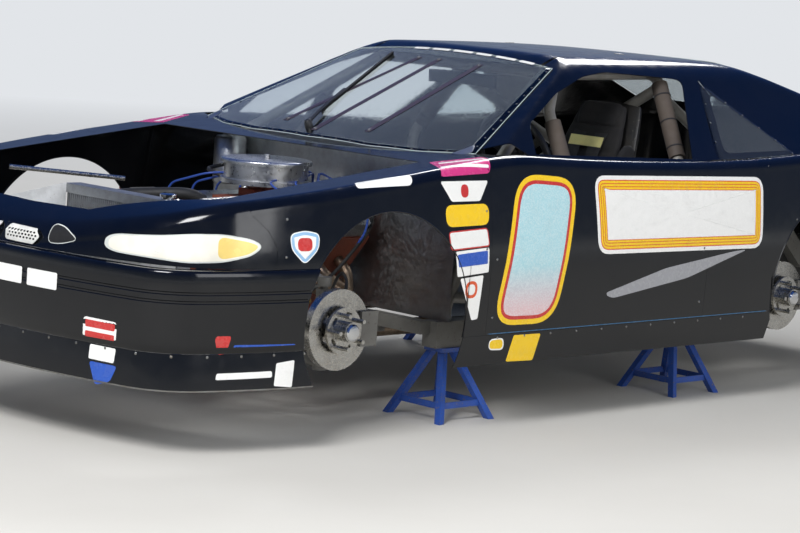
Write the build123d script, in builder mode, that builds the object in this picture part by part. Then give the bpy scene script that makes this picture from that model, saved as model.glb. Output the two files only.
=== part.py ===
"""Two-door stock car, stripped for work: hood off, wheels off, body held on four axle stands.

Millimetres. +X points forward, +Y to the driver's side (left), +Z up.
The origin is on the ground, under the centre of the car's bounding box.
Heights are written as they are with the wheels on the road; up() lifts them by what the stands add.
Stations along the car are written from the front axle; at() moves them to the origin used here.
"""
import os
from math import atan2, cos, degrees, radians, sin, sqrt, tan

from build123d import *

os.makedirs("parts", exist_ok=True)

# Overall sizes
wheelbase = 2667.0
body_lift = 132.0          # how far the stands hold the body above its running height
half_width = 966.0         # at the waist, over the doors
nose_tip = 1000.0          # station of the upper nose's tip
rear_overhang = 1178.0     # from the rear axle to the tail
tail_tip = -wheelbase - rear_overhang
hub_height = 381.0         # axle centres above the ground, hanging on their springs
wall = 3.0                 # body panels
glass = 3.0                # clear sheets
seam = 0.8                 # gap between neighbouring fixed panels
seat_gap = 0.3             # between pieces that only rest on each other

# Heights of the body, wheels on the road
skirt_bottom = 120.0
skirt_seam = 234.0
dam_bottom = 104.0
dam_seam = 232.0
bumper_crease = 518.0
waist = 500.0
belt = 866.0
roof_peak = 1273.0


def at(x):
    """Station in the car's frame of a point x ahead of the front axle."""
    return front_axle + x


def aft(x):
    """Station of a point x ahead of the rear axle."""
    return x - wheelbase


def up(z):
    """Height above the ground, on the stands, of a point at running height z."""
    return z + body_lift


# Curves of the body: chains of arcs, each tangent to the one before
def chain(start, heading, points, end_heading=None):
    """Joints (u, v, heading) of tangent arcs through the points; a last one meets v = 0 square."""
    joints = [(start[0], start[1], heading)]
    for u, v in points:
        u0, v0, before = joints[-1]
        after = 2 * degrees(atan2(v - v0, u - u0)) - before
        joints.append((u, v, (after + 180) % 360 - 180))
    if end_heading is not None:
        u0, v0, before = joints[-1]
        chord = radians((before + end_heading) / 2)
        joints.append((u0 - v0 / tan(chord), 0.0, end_heading))
    return joints


def inset(joints, distance, side):
    """The same chain moved sideways, so its arcs stay parallel."""
    return [
        (u - side * distance * sin(radians(a)), v + side * distance * cos(radians(a)), a)
        for u, v, a in joints
    ]


def height_on(joints, u):
    """The v of the chain at u, for chains that run one way in u."""
    for (u0, v0, a0), (u1, v1, a1) in zip(joints, joints[1:]):
        if min(u0, u1) - 1e-6 <= u <= max(u0, u1) + 1e-6:
            turn = radians((a1 - a0 + 180) % 360 - 180)
            if abs(turn) < 1e-4:
                return v0 + (v1 - v0) * (u - u0) / (u1 - u0)
            radius = sqrt((u1 - u0) ** 2 + (v1 - v0) ** 2) / (2 * sin(turn / 2))
            cu = u0 - radius * sin(radians(a0))
            cv = v0 + radius * cos(radians(a0))
            root = sqrt(max(radius**2 - (u - cu) ** 2, 0.0))
            low, high = cv - root, cv + root
            return low if abs(low - (v0 + v1) / 2) < abs(high - (v0 + v1) / 2) else high
    raise ValueError("station outside the chain")


# Plan of the waist and of the bumper: (station, half width)
plan_front = chain((50, half_width - 4), 0, [(600, half_width - 73), (870, half_width - 306)], -90)
plan_rear = chain((aft(67), half_width - 4), 180, [(aft(-868), half_width - 61), (aft(-1098), half_width - 266)], 270)
bumper_front = chain((50, half_width), 0, [(350, half_width - 9), (800, half_width - 91), (965, half_width - 266)], -90)

# The origin lies midway between the bumper's tip and the tail
bumper_tip = bumper_front[-1][0]
front_axle = -(bumper_tip + tail_tip) / 2
rear_axle = front_axle - wheelbase

# Top line of fenders, belt and deck: (station, height)
top_front = chain((-1850, 866), 0, [(-820, 896), (-560, 888), (600, 746), (nose_tip + 3, 560)])
top_rear = chain((-1850, 866), 180, [(aft(187), 885), (aft(-433), 922), (aft(-1193), 942)])


def plan_width(x, depth):
    """Half width of the upper body at the waist, for a skin of the given depth."""
    front, rear = inset(plan_front, depth, -1), inset(plan_rear, depth, 1)
    if x >= front[0][0]:
        return height_on(front, min(x, front[-1][0]))
    if x <= rear[0][0]:
        return height_on(rear, max(x, rear[-1][0]))
    return half_width - 4 - depth


def top_height(x, depth):
    """Height of the fender, belt or deck line, for a skin of the given depth."""
    if x >= top_front[0][0]:
        return height_on(top_front, x) - depth
    if x <= top_rear[0][0]:
        return height_on(top_rear, x) - depth
    return top_front[0][1] - depth


shoulder = 45.0            # radius where sides turn into fender tops
tumblehome = 42.0          # how far the side leans in from waist to shoulder
tuck = 14.0                # how far it leans in from waist to skirt


def body_section(x, depth, floor):
    """Closed section of the lower body at a station: sides, shoulders and a flat top."""
    width = plan_width(x, depth)
    top = top_height(x, depth)
    radius = min(shoulder, top - waist - 8) - depth
    radius = min(radius, width * 0.6)
    lean = tumblehome * min(1.0, (top - waist) / 400)
    side = width - lean
    with BuildSketch(Plane(origin=(at(x), 0, 0), x_dir=(0, 1, 0), z_dir=(1, 0, 0))) as section:
        with BuildLine() as half:
            Polyline(
                (0, up(floor)),
                (width - tuck, up(floor)),
                (width, up(waist)),
                (side, up(top - radius)),
            )
            ThreePointArc(
                (side, up(top - radius)),
                (side - radius * (1 - cos(radians(45))), up(top - radius * (1 - sin(radians(45))))),
                (side - radius, up(top)),
            )
            Line((side - radius, up(top)), (0, up(top)))
            mirror(about=Plane.YZ)
        make_face()
    return section.sketch.faces()[0]


body_stations = [nose_tip, 985, 950, 900, 830, 740, 640, 500, 300, 0, -300, -560, -820, -1300, -1850,
                 aft(367), aft(-33), aft(-433), aft(-733), aft(-933), aft(-1033), aft(-1113), aft(-1158), tail_tip]


def lower_body(depth, floor):
    """Solid inside the lower body's skin."""
    ends = {nose_tip: nose_tip - depth, tail_tip: tail_tip + depth}
    stations = [ends.get(x, x) for x in body_stations]
    with BuildPart() as solid:
        loft([body_section(x, depth, floor) for x in stations], ruled=True)
    return solid.part


body_outer = lower_body(0, skirt_bottom)
body_skin = body_outer - lower_body(wall, skirt_bottom - 50)

# The cabin: a section carried along the car, cut by the side profile and by the curved windscreen
windscreen_slope = 23.4
windscreen_bend = 2200.0   # radius of the windscreen seen from above
windscreen_base = -445.0   # station of the windscreen's foot on the centre line
windscreen_foot = 880.0    # its running height
roof_front = (-1170.0, 1214.0)
cabin_half = chain((0, roof_peak), 0, [(460, 1252), (615, 1172), (half_width - 61, 845)])
cabin_top = chain(roof_front, 180 - windscreen_slope, [(-1380, 1262), (aft(367), 1252), (aft(167), 1216)])
cabin_low = 720.0
cabin_ends = (-150.0, aft(-933))


def draw_chain(joints, place):
    """Draws a chain's arcs in the open BuildLine; place turns (u, v) into the sketch's point."""
    for (u0, v0, a0), (u1, v1, a1) in zip(joints, joints[1:]):
        turn = (a1 - a0 + 180) % 360 - 180
        if abs(turn) < 0.05:
            Line(place(u0, v0), place(u1, v1))
        else:
            TangentArc(place(u0, v0), place(u1, v1), tangent=(cos(radians(a0)), sin(radians(a0))))


def ray(joint, distance):
    """The point a given distance ahead of a chain's joint."""
    u, v, a = joint
    return (u + distance * cos(radians(a)), v + distance * sin(radians(a)))


def cabin(depth):
    """Solid inside the cabin's skin."""
    across = inset(cabin_half, depth, -1)
    along = inset(cabin_top, depth, 1)
    foot = (across[-1][0], cabin_low)
    back = ray(along[-1], 1300)
    front = ray(along[0], -1300)
    with BuildPart() as solid:
        with BuildSketch(Plane(origin=(at(cabin_ends[0]), 0, 0), x_dir=(0, 1, 0), z_dir=(1, 0, 0))):
            with BuildLine():
                draw_chain(across, lambda y, z: (y, up(z)))
                Polyline((across[-1][0], up(across[-1][1])), (foot[0], up(foot[1])), (0, up(foot[1])))
                mirror(about=Plane.YZ)
            make_face()
        extrude(amount=cabin_ends[1] - cabin_ends[0])
        with BuildSketch(Plane.XZ.offset(-1200)):
            with BuildLine():
                draw_chain(along, lambda x, z: (at(x), up(z)))
                Polyline(
                    (at(along[-1][0]), up(along[-1][1])),
                    (at(back[0]), up(back[1])),
                    (at(back[0]), up(0)),
                    (at(front[0]), up(0)),
                    (at(front[0]), up(front[1])),
                    (at(along[0][0]), up(along[0][1])),
                )
            make_face()
        extrude(amount=2400, mode=Mode.INTERSECT)
        shift = depth / sin(radians(windscreen_slope))
        drop = (windscreen_foot - cabin_low) / tan(radians(windscreen_slope))
        lead = windscreen_base + drop - shift
        bow = 1000**2 / (2 * windscreen_bend)
        with BuildSketch(Plane.XY.offset(up(cabin_low))):
            with BuildLine():
                ThreePointArc((at(lead - bow), -1000), (at(lead), 0), (at(lead - bow), 1000))
                Polyline((at(lead - bow), 1000), (at(-4000), 1000), (at(-4000), -1000), (at(lead - bow), -1000))
            make_face()
        run = (cos(radians(windscreen_slope)), 0, sin(radians(windscreen_slope)))
        extrude(amount=800 / run[2], dir=(-run[0], 0, run[2]), mode=Mode.INTERSECT)
    return solid.part


cabin_outer = cabin(0)
cabin_skin = cabin_outer - cabin(wall) - body_outer
body_open = body_skin - cabin(-seam)


def finish(piece, name):
    """Names a finished piece and writes it."""
    piece.label = name
    export_step(piece, f"parts/{name}.step")
    print(name, len(piece.solids()), round(piece.volume / 1e6, 3))


def largest(piece):
    """The main solid of a cut skin, without the slivers that a cut leaves."""
    return max(piece.solids(), key=lambda solid: solid.volume)


def side_panel(skin, outline, side, cuts=()):
    """Part of a skin that a side-view outline of (station, height) points holds, on one side."""
    with BuildPart() as panel:
        add(skin)
        with BuildSketch(Plane.XZ.offset(-1100 if side > 0 else -middle_clear)):
            with BuildLine():
                Polyline([(at(x), up(z)) for x, z in outline], close=True)
            make_face()
        extrude(amount=1100 - middle_clear, mode=Mode.INTERSECT)
        for cut in cuts:
            add(cut, mode=Mode.SUBTRACT)
    return largest(panel.part)


def prism_across(outline, reach, corner=0.0):
    """Solid across the whole car inside a side-view outline, its corners rounded."""
    with BuildPart() as prism:
        with BuildSketch(Plane.XZ.offset(-reach)) as face:
            with BuildLine():
                Polyline([(at(x), up(z)) for x, z in outline], close=True)
            make_face()
            if corner:
                fillet(face.vertices(), radius=corner)
        extrude(amount=2 * reach)
    return prism.part


def prism_up(outline, low, high, corner=0.0):
    """Solid standing inside a plan outline given for the left side and mirrored."""
    whole = list(outline) + [(x, -y) for x, y in reversed(outline)]
    with BuildPart() as prism:
        with BuildSketch(Plane.XY.offset(up(low))) as face:
            with BuildLine():
                Polyline([(at(x), y) for x, y in whole], close=True)
            make_face()
            if corner:
                fillet(face.vertices(), radius=corner)
        extrude(amount=high - low)
    return prism.part


def disc_across(x, z, radius, reach=1100.0):
    """Solid cylinder across the whole car, for wheel arches."""
    with BuildPart() as disc:
        with BuildSketch(Plane.XZ.offset(-reach)):
            with Locations((at(x), up(z))):
                Circle(radius)
        extrude(amount=2 * reach)
    return disc.part


middle_clear = 1.0
front_arch = (-12.0, 305.0, 405.0)       # station, height and radius of the opening
rear_arch = (-wheelbase, 300.0, 390.0)
arches = disc_across(*front_arch) + disc_across(*rear_arch)

# Stations of the panel joints
nose_joint = 500.0
bumper_joint = 330.0
door_front = -530.0
door_rear = -1825.0
skirt_rear = -2262.0
quarter_rear = aft(-933)
hood_rear = -345.0
hood_side = 735.0
hood_front = (860.0, 640.0)              # at the middle and at the corners

hood_opening = prism_up(
    [(hood_rear, 0.1), (hood_rear, hood_side), (hood_front[1] - 30, hood_side), (hood_front[0], 330),
     (hood_front[0] + 8, 0.1)], 540, 1100)
deck_front = aft(-793)
deck_rear = aft(-1108)
deck_side = 600.0
lid_gap = 5.0              # round the decklid, which moves
deck_opening = prism_up([(deck_front, 0.1), (deck_front, deck_side), (deck_rear, deck_side),
                         (deck_rear, 0.1)], 800, 1000)
cowl_rear = -800.0
cowl_opening = prism_up([(hood_rear + seam, 0.1), (hood_rear + seam, hood_side), (cowl_rear, hood_side),
                         (cowl_rear, 0.1)], 700, 1000)

# Side panels, each from its side-view outline
g = seam / 2
fender_outline = [(nose_joint - g, bumper_crease + g), (nose_joint - g, 1000), (door_front + g, 1000),
                  (door_front + g, skirt_seam + g), (-300, skirt_seam + g), (-300, 400), (300, bumper_crease + g)]
door_outline = [(door_front - g, skirt_seam + g), (door_front - g, 1000), (door_rear + g, 1000),
                (door_rear + g, skirt_seam + g)]
skirt_outline = [(-350, skirt_bottom), (-350, skirt_seam - g), (skirt_rear - 40, skirt_seam - g),
                 (skirt_rear, skirt_bottom)]
quarter_outline = [(door_rear - g, skirt_seam + g), (door_rear - g, 1000), (quarter_rear + g, 1000),
                   (quarter_rear + g, 200), (aft(-233), 180), (aft(167), skirt_seam + g)]
tail_outline = [(quarter_rear - g, 190), (quarter_rear - g, 1000), (-4000, 1000), (-4000, 190)]

# Hinges of the decklid: pins on the panel ahead of it, straps on the lid
hinge_x = deck_front + 20
hinge_y = 380.0
hinge_pin = 5.0
hinge_eye = 9.0
hinge_half = 15.0
hinge_play = 0.08
hinge_rise = hinge_eye + 5.5
hinge_z = top_height(hinge_x, 0) + hinge_rise
strap_thick = 5.0
foot_gap = 2.0
foot_half = 10.0
strap_end = deck_front - 70
with BuildPart() as hinge_feet:
    with BuildSketch(Plane(origin=(at(hinge_x), hinge_y + 30, up(hinge_z)), z_dir=(0, -1, 0))):
        Circle(hinge_pin)
    extrude(amount=60)
    for shift in (1, -1):
        y = hinge_y + shift * (hinge_half + foot_gap + foot_half / 2)
        with Locations((at(hinge_x), y, up(hinge_z - hinge_rise / 2 - 1))):
            Box(2 * hinge_pin + 8, foot_half, hinge_rise + 1)
with BuildPart() as hinge_strap:
    with BuildSketch(Plane(origin=(at(hinge_x), hinge_y + hinge_half, up(hinge_z)), z_dir=(0, -1, 0))):
        Circle(hinge_eye)
    extrude(amount=2 * hinge_half)
    strap_z = hinge_z - hinge_eye + strap_thick / 2
    with Locations(((at(hinge_x) + at(strap_end)) / 2, hinge_y, up(strap_z))):
        Box(hinge_x - strap_end, 2 * hinge_half, strap_thick)
    with Locations((at(deck_front - lid_gap - 35), hinge_y, up(strap_z - 4))):
        Box(50, 2 * hinge_half, 9)
    with BuildSketch(Plane(origin=(at(hinge_x), hinge_y + hinge_half, up(hinge_z)), z_dir=(0, -1, 0))):
        Circle(hinge_pin + hinge_play)
    extrude(amount=2 * hinge_half, mode=Mode.SUBTRACT)

fender = side_panel(body_open, fender_outline, 1, [arches, hood_opening, cowl_opening])
door = side_panel(body_open, door_outline, 1, [cowl_opening])
skirt = side_panel(body_open, skirt_outline, 1, [arches])
quarter_skin = side_panel(body_open, quarter_outline, 1, [arches, deck_opening])
with BuildPart() as quarter:
    add(quarter_skin)
    add(hinge_feet)
for name, piece in (("fender", fender), ("door", door), ("quarter", quarter.part)):
    finish(piece, name + "_left")
    finish(mirror(piece, about=Plane.XZ), name + "_right")


def both_sides(piece):
    """A piece with its mirror image."""
    with BuildPart() as pair:
        add(piece)
        add(mirror(piece, about=Plane.XZ))
    return pair.part


finish(both_sides(skirt), "skirts")


def prism_ahead(outline, corner, rear, gap=0.0):
    """Solid from a station forward inside a front-view outline of (across, height) points, left side."""
    with BuildPart() as prism:
        with BuildSketch(Plane(origin=(at(rear), 0, 0), x_dir=(0, 1, 0), z_dir=(1, 0, 0))) as face:
            with BuildLine():
                Polyline([(y, up(z)) for y, z in outline], close=True)
            make_face()
            fillet(face.vertices(), radius=corner)
            if gap:
                offset(amount=-gap, mode=Mode.REPLACE)
        extrude(amount=1200 - rear)
    return prism.part


lamp_outline = [(470, 538), (850, 530), (912, 598), (850, 640), (470, 604)]
lamp_corner = 14.0
lamp_rear = 560.0
grille_outline = [(24, 528), (172, 526), (204, 556), (178, 582), (24, 584)]
grille_corner = 10.0
grille_rear = 900.0
insert_gap = 0.4           # round lamps and grille sheets in their openings
lamp_holes = both_sides(prism_ahead(lamp_outline, lamp_corner, lamp_rear))
grille_holes = both_sides(prism_ahead(grille_outline, grille_corner, grille_rear))

with BuildPart() as nose:
    add(body_open)
    add(prism_across([(nose_joint + g, bumper_crease + g), (nose_joint + g, 1000), (1100, 1000),
                      (1100, bumper_crease + g)], 1100), mode=Mode.INTERSECT)
    add(hood_opening, mode=Mode.SUBTRACT)
    add(lamp_holes, mode=Mode.SUBTRACT)
    add(grille_holes, mode=Mode.SUBTRACT)
finish(largest(nose.part), "nose_panel")

with BuildPart() as headlights:
    add(body_open)
    add(both_sides(prism_ahead(lamp_outline, lamp_corner, lamp_rear, insert_gap)), mode=Mode.INTERSECT)
finish(headlights.part, "headlights")

# The grille sheet's slanted six-sided holes, in rows that stand half a pitch apart
mesh_pitch = (17.0, 11.5)
mesh_rim = 10.5
mesh_hole = [(-6.5, 0), (-2.5, 3.8), (5, 3.8), (6.5, 0), (2.5, -3.8), (-5, -3.8)]


def well_inside(outline, y, z, margin):
    """True where a point lies in a convex outline at least margin from each edge."""
    for (y0, z0), (y1, z1) in zip(outline, outline[1:] + outline[:1]):
        across = (y1 - y0) * (z - z0) - (z1 - z0) * (y - y0)
        if across < margin * sqrt((y1 - y0)**2 + (z1 - z0)**2):
            return False
    return True


with BuildPart() as grille:
    add(body_open)
    add(both_sides(prism_ahead(grille_outline, grille_corner, grille_rear, insert_gap)), mode=Mode.INTERSECT)
    with BuildSketch(Plane(origin=(at(grille_rear), 0, 0), x_dir=(0, 1, 0), z_dir=(1, 0, 0))) as mesh:
        middle_y = (grille_outline[0][0] + grille_outline[2][0]) / 2
        for row in range(-3, 4):
            for column in range(-8, 9):
                y = middle_y + mesh_pitch[0] * (column + (row % 2) / 2)
                z = grille_outline[2][1] + mesh_pitch[1] * row
                if well_inside(grille_outline, y, z, mesh_rim):
                    for side in (1, -1):
                        with Locations((side * y, up(z))):
                            Polygon(*[(side * u, v) for u, v in mesh_hole[::side]], align=None)
    extrude(mesh.sketch, amount=nose_tip + 60 - grille_rear, mode=Mode.SUBTRACT)
finish(grille.part, "grille_mesh")

with BuildPart() as cowl:
    add(body_open)
    add(prism_up([(hood_rear - seam, 0.1), (hood_rear - seam, hood_side - seam), (cowl_rear, hood_side - seam),
                  (cowl_rear, 0.1)], 700, 1000), mode=Mode.INTERSECT)
finish(largest(cowl.part), "cowl")

with BuildPart() as tail:
    add(body_open)
    add(prism_across(tail_outline, 1100), mode=Mode.INTERSECT)
    add(deck_opening, mode=Mode.SUBTRACT)
finish(largest(tail.part), "tail_cover")

with BuildPart() as lid_skin:
    add(body_open)
    add(prism_up([(deck_front - lid_gap, 0.1), (deck_front - lid_gap, deck_side - lid_gap),
                  (deck_rear + lid_gap, deck_side - lid_gap), (deck_rear + lid_gap, 0.1)], 850, 1000),
        mode=Mode.INTERSECT)
with BuildPart() as decklid:
    add(largest(lid_skin.part))
    add(hinge_strap)
    add(mirror(hinge_strap.part, about=Plane.XZ))
finish(decklid.part, "decklid")


def bumper_face(z, depth, rear):
    """Plan of the bumper at a height, from the tip back to a rear station."""
    front = inset(bumper_front, depth, -1)
    with BuildSketch(Plane.XY.offset(up(z))) as face:
        with BuildLine():
            start = front[0][1]
            Line((at(front[0][0]), start), (at(front[0][0]), 0))
            draw_chain(front, lambda x, y: (at(x), y))
            mirror(about=Plane.XZ)
        make_face()
        with Locations((at(rear) - 500, 0)):
            Rectangle(1000, 2400, mode=Mode.SUBTRACT)
    return face.sketch.faces()[0]


def bumper_skin(levels, rear):
    """Hollow skin through levels of (height, inset)."""
    with BuildPart() as skin:
        loft([bumper_face(z, depth, rear) for z, depth in levels], ruled=True)
        loft([bumper_face(z, depth + wall, rear - 50) for z, depth in levels], ruled=True, mode=Mode.SUBTRACT)
    return skin.part


bumper_levels = [(dam_seam + g, 9.0), (400.0, 0.0), (470.0, 0.0), (bumper_crease - g, 8.0)]
with BuildPart() as bumper:
    add(bumper_skin(bumper_levels, bumper_joint))
    ledge_top = bumper_crease - g
    with BuildSketch(Plane.XY.offset(up(ledge_top - wall))):
        add(Plane.XY.offset(up(ledge_top - wall)).to_local_coords(
            bumper_face(ledge_top - wall, bumper_levels[-1][1] + 1, bumper_joint)))
        with BuildLine():
            ledge = inset(plan_front, 55, -1)
            draw_chain(ledge, lambda x, y: (at(x), y))
            Line((at(ledge[0][0]), ledge[0][1]), (at(ledge[0][0]), 0))
            mirror(about=Plane.XZ)
        make_face(mode=Mode.SUBTRACT)
    extrude(amount=wall)
    add(arches, mode=Mode.SUBTRACT)
finish(largest(bumper.part), "bumper_cover")

dam_levels = [(dam_bottom, 0.0), (dam_seam - g, 12.0)]
with BuildPart() as dam:
    add(bumper_skin(dam_levels, bumper_joint))
    add(arches, mode=Mode.SUBTRACT)
finish(largest(dam.part), "air_dam")

# Windows, as side-view or plan outlines of their openings
door_window = [(-824, 850), (-905, 1005), (-1156, 1116), (-1371, 1180), (-1527, 1199), (-1960, 1178),
               (-1992, 1165), (-1757, 850)]
quarter_pane = [(aft(539), 1128), (aft(663), 892), (aft(197), 902)]
windscreen_half = [(-462, 0.1), (-478, 330), (-528, 560), (-612, 745), (-1255, 488), (-1222, 300), (-1206, 0.1)]
rear_window_half = [(aft(277), 0.1), (aft(267), 430), (aft(-518), 610), (aft(-533), 0.1)]
pane_gap = 0.8


def smaller(outline, distance):
    """Outline of a pane that sits in an opening with a gap all round."""
    with BuildSketch() as face:
        with BuildLine():
            Polyline(outline, close=True)
        make_face()
        offset(amount=-distance, mode=Mode.REPLACE)
    return [(v.X, v.Y) for v in face.vertices()]


cabin_body = largest(cabin_skin)
door_window_hole = prism_across(door_window, 1000, 22.0)
quarter_hole = prism_across(quarter_pane, 1000, 38.0)
windscreen_hole = prism_up(windscreen_half, 760, 1400)
rear_hole = prism_up(rear_window_half, 760, 1400)
with BuildPart() as roof:
    add(cabin_body)
    for opening in (door_window_hole, quarter_hole, windscreen_hole, rear_hole):
        add(opening, mode=Mode.SUBTRACT)
finish(largest(roof.part), "roof_shell")


def pane(hole):
    """Clear sheet that fills an opening of the cabin's skin, with a gap all round."""
    with BuildPart() as sheet:
        add(cabin_body)
        add(hole, mode=Mode.INTERSECT)
    return sheet.part


windscreen = largest(pane(prism_up([(x + (-pane_gap if x > -700 else pane_gap), max(y - pane_gap, 0.1))
                                    for x, y in windscreen_half], 760, 1400)))
finish(windscreen, "windscreen")
rear_window = largest(pane(prism_up([(x + (-pane_gap if x > aft(-133) else pane_gap), max(y - pane_gap, 0.1))
                                     for x, y in rear_window_half], 760, 1400)))
quarter_panes = pane(prism_across(smaller(quarter_pane, pane_gap), 1000, 38.0 - pane_gap))
with BuildPart() as rear_windows:
    add(rear_window)
    for sheet in quarter_panes.solids():
        if sheet.volume > 10000:
            add(sheet)
finish(rear_windows.part, "rear_windows")


def tube(points, diameter, bend):
    """Adds a round bar along straight runs joined by bends to the open part."""
    with BuildLine() as path:
        if len(points) > 2:
            FilletPolyline(*points, radius=bend)
        else:
            Line(*points)
    with BuildSketch(Plane(origin=path.line @ 0, z_dir=path.line % 0)) as section:
        Circle(diameter / 2)
    sweep(sections=section.sketch.faces(), path=path.line)


def both(y):
    """The two sides of the car."""
    return (y, -y)




def sheet_outline(points, thickness):
    """Closed outline of a bent sheet: a line of points, then back along the line moved to its left."""
    normals = []
    for (u0, v0), (u1, v1) in zip(points, points[1:]):
        run = sqrt((u1 - u0) ** 2 + (v1 - v0) ** 2)
        normals.append(((v0 - v1) / run, (u1 - u0) / run))
    moved = []
    for (u, v), n0, n1 in zip(points, [normals[0]] + normals, normals + [normals[-1]]):
        scale = thickness / (1 + n0[0] * n1[0] + n0[1] * n1[1])
        moved.append((u + scale * (n0[0] + n1[0]), v + scale * (n0[1] + n1[1])))
    return list(points) + moved[::-1]


def block(x0, x1, y0, y1, z0, z1):
    """Adds a plain block between stations, sides and running heights to the open part."""
    with Locations(((at(x0) + at(x1)) / 2, (y0 + y1) / 2, (up(z0) + up(z1)) / 2)):
        Box(abs(x1 - x0), abs(y1 - y0), abs(z1 - z0))


def cylinder_across(x, y0, y1, height, radius, mode=Mode.ADD):
    """Adds a round bar along Y; its height is above the ground."""
    with BuildSketch(Plane(origin=(x, y0, height), z_dir=(0, 1 if y1 > y0 else -1, 0))) as face:
        Circle(radius)
    extrude(face.sketch, amount=abs(y1 - y0), mode=mode)


def cylinder_along(x0, x1, y, height, radius, mode=Mode.ADD):
    """Adds a round bar along X; its height is above the ground."""
    with BuildSketch(Plane(origin=(x0, y, height), z_dir=(1 if x1 > x0 else -1, 0, 0))) as face:
        Circle(radius)
    extrude(face.sketch, amount=abs(x1 - x0), mode=mode)


def cylinder_up(x, y, low, high, radius, mode=Mode.ADD):
    """Adds a round bar standing up; its heights are above the ground."""
    with BuildSketch(Plane(origin=(x, y, low))) as face:
        Circle(radius)
    extrude(face.sketch, amount=high - low, mode=mode)


# Space inside the skins, where brackets end just short of them
inside_body = lower_body(wall + seat_gap, skirt_bottom)
inside_cabin = cabin(wall + seat_gap)

# Frame: side rails, front and rear clips
rail_bottom = 270.0        # above the ground, where the stands carry it
rail_width = 76.0
rail_height = 102.0
rail_y = 640.0
rail_front = -560.0
rail_rear = -2150.0
rail_z0 = rail_bottom - body_lift
rail_z1 = rail_z0 + rail_height
cross_deep = 50.0
cross_wide = 51.0
cross_drop = 10.0          # the rear cross members sit this far below the rails' tops
shaft_room = (165.0, 215.0)
clip_y = 372.0
clip_width = 51.0
clip_deep = 76.0
clip_front = 470.0
clip_face = clip_y + clip_width / 2
tower_half = 60.0
tower_top = 640.0
bucket_z = 380.0
front_spring_y = 490.0
rear_clip_y = 470.0
rear_kick = 560.0
rear_low = 400.0
rear_clip_end = aft(-853)
body_tube = 25.0
engine_half = 150.0
mount_x = -120.0
mount_z = (185.0, 225.0)
kick_line = [(rail_rear, rail_z1), (aft(287), rear_kick), (aft(-293), rear_kick), (aft(-473), rear_low),
             (rear_clip_end, rear_low)]

with BuildPart() as brackets:
    for side in (1, -1):
        for x in (-900.0, -1500.0):
            block(x - body_tube, x, side * (rail_y + 30), side * 1000, rail_z1 - 40, rail_z1 - 15)
        block(clip_front - 20, 1200, side * (clip_y - 18), side * (clip_y + 18), rail_z1 - 40, rail_z1 - 4)
        block(rear_clip_end + 20, -4000, side * (rear_clip_y - 18), side * (rear_clip_y + 18),
              rear_low - 50, rear_low - 14)
with BuildPart() as body_brackets:
    add(brackets)
    add(inside_body, mode=Mode.INTERSECT)

with BuildPart() as frame:
    for side in (1, -1):
        block(rail_front, rail_rear, side * (rail_y - rail_width / 2), side * (rail_y + rail_width / 2),
              rail_z0, rail_z1)
        block(rail_front, clip_front, side * (clip_y - clip_width / 2), side * clip_face, rail_z1 - clip_deep, rail_z1)
        with BuildSketch(Plane.XZ.offset(-side * rear_clip_y - clip_width / 2)):
            with BuildLine():
                Polyline([(at(x), up(z)) for x, z in sheet_outline(kick_line, clip_deep)], close=True)
            make_face()
        extrude(amount=clip_width)
        with BuildSketch(Plane.YZ.offset(at(-tower_half))):
            with BuildLine():
                Polyline([(side * y, up(z)) for y, z in (
                    (clip_face - clip_width, rail_z1 - 10), (clip_face, rail_z1 - 10), (clip_face + 30, bucket_z),
                    (front_spring_y + 60, bucket_z), (front_spring_y + 60, bucket_z + 8),
                    (clip_face + 32, bucket_z + 8), (clip_face + 45, tower_top), (clip_face - 20, tower_top))],
                    close=True)
            make_face()
        extrude(amount=2 * tower_half)
        block(mount_x - 40, mount_x + 40, side * (engine_half + seat_gap), side * clip_y, *mount_z)
    for x in (rail_front + cross_wide / 2, rail_rear - cross_wide / 2):
        for side in (1, -1):
            block(x - cross_wide / 2, x + cross_wide / 2, side * (clip_y - 30), side * rail_y,
                  rail_z1 - cross_deep, rail_z1)
    block(-1275, -1225, -rail_y, rail_y, rail_z1 - cross_deep, rail_z1)
    block(rail_rear - cross_wide, rail_rear, -clip_y, clip_y, *shaft_room)
    for x in (clip_front - cross_wide / 2, 60.0):
        block(x - cross_wide / 2, x + cross_wide / 2, -clip_y, clip_y, rail_z1 - cross_deep, rail_z1)
    for x, z in ((rear_clip_end + cross_wide / 2, rear_low), (aft(-283), rear_kick)):
        block(x - cross_wide / 2, x + cross_wide / 2, -rear_clip_y, rear_clip_y, z - clip_deep, z - cross_drop)
    add(body_brackets.part)
finish(frame.part, "frame")

# Roll cage of round tube, its legs on the rails
cage_tube = 44.5
hoop_lean = 0.27           # how far the main hoop leans back per height
hoop_x = -1680.0
hoop_knee = (770.0, 820.0)       # side and height
hoop_top = (530.0, 1185.0)
leg_foot_x = -640.0
leg_knee = (-720.0, 740.0, 800.0)
screen_top = (-1330.0, 500.0, 1178.0)
dash_bar_z = 700.0
door_bar_y = 850.0
foot_long = 45.0


def on_hoop(z):
    """Point of the main hoop's left leg at a running height."""
    share = (z - rail_z1) / (hoop_knee[1] - rail_z1)
    y = rail_y + (hoop_knee[0] - rail_y) * min(share, 1)
    if share > 1:
        y += (hoop_top[0] - hoop_knee[0]) * (z - hoop_knee[1]) / (hoop_top[1] - hoop_knee[1])
    return (at(hoop_x - hoop_lean * (z - rail_z1)), y, up(z))


def on_leg(z):
    """Point of the left front leg at a running height below its knee."""
    share = (z - rail_z1) / (leg_knee[2] - rail_z1)
    return (at(leg_foot_x + (leg_knee[0] - leg_foot_x) * share), rail_y + (leg_knee[1] - rail_y) * share, up(z))


def swap(point, side):
    """The point on one side of the car."""
    return (point[0], side * point[1], point[2])


def foot_of(point):
    """Foot of a tube and its first bend, straight above, where it stands on the frame at a point."""
    x, y, z = point
    return (x, y, z + seat_gap), (x, y, z + foot_long)


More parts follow.
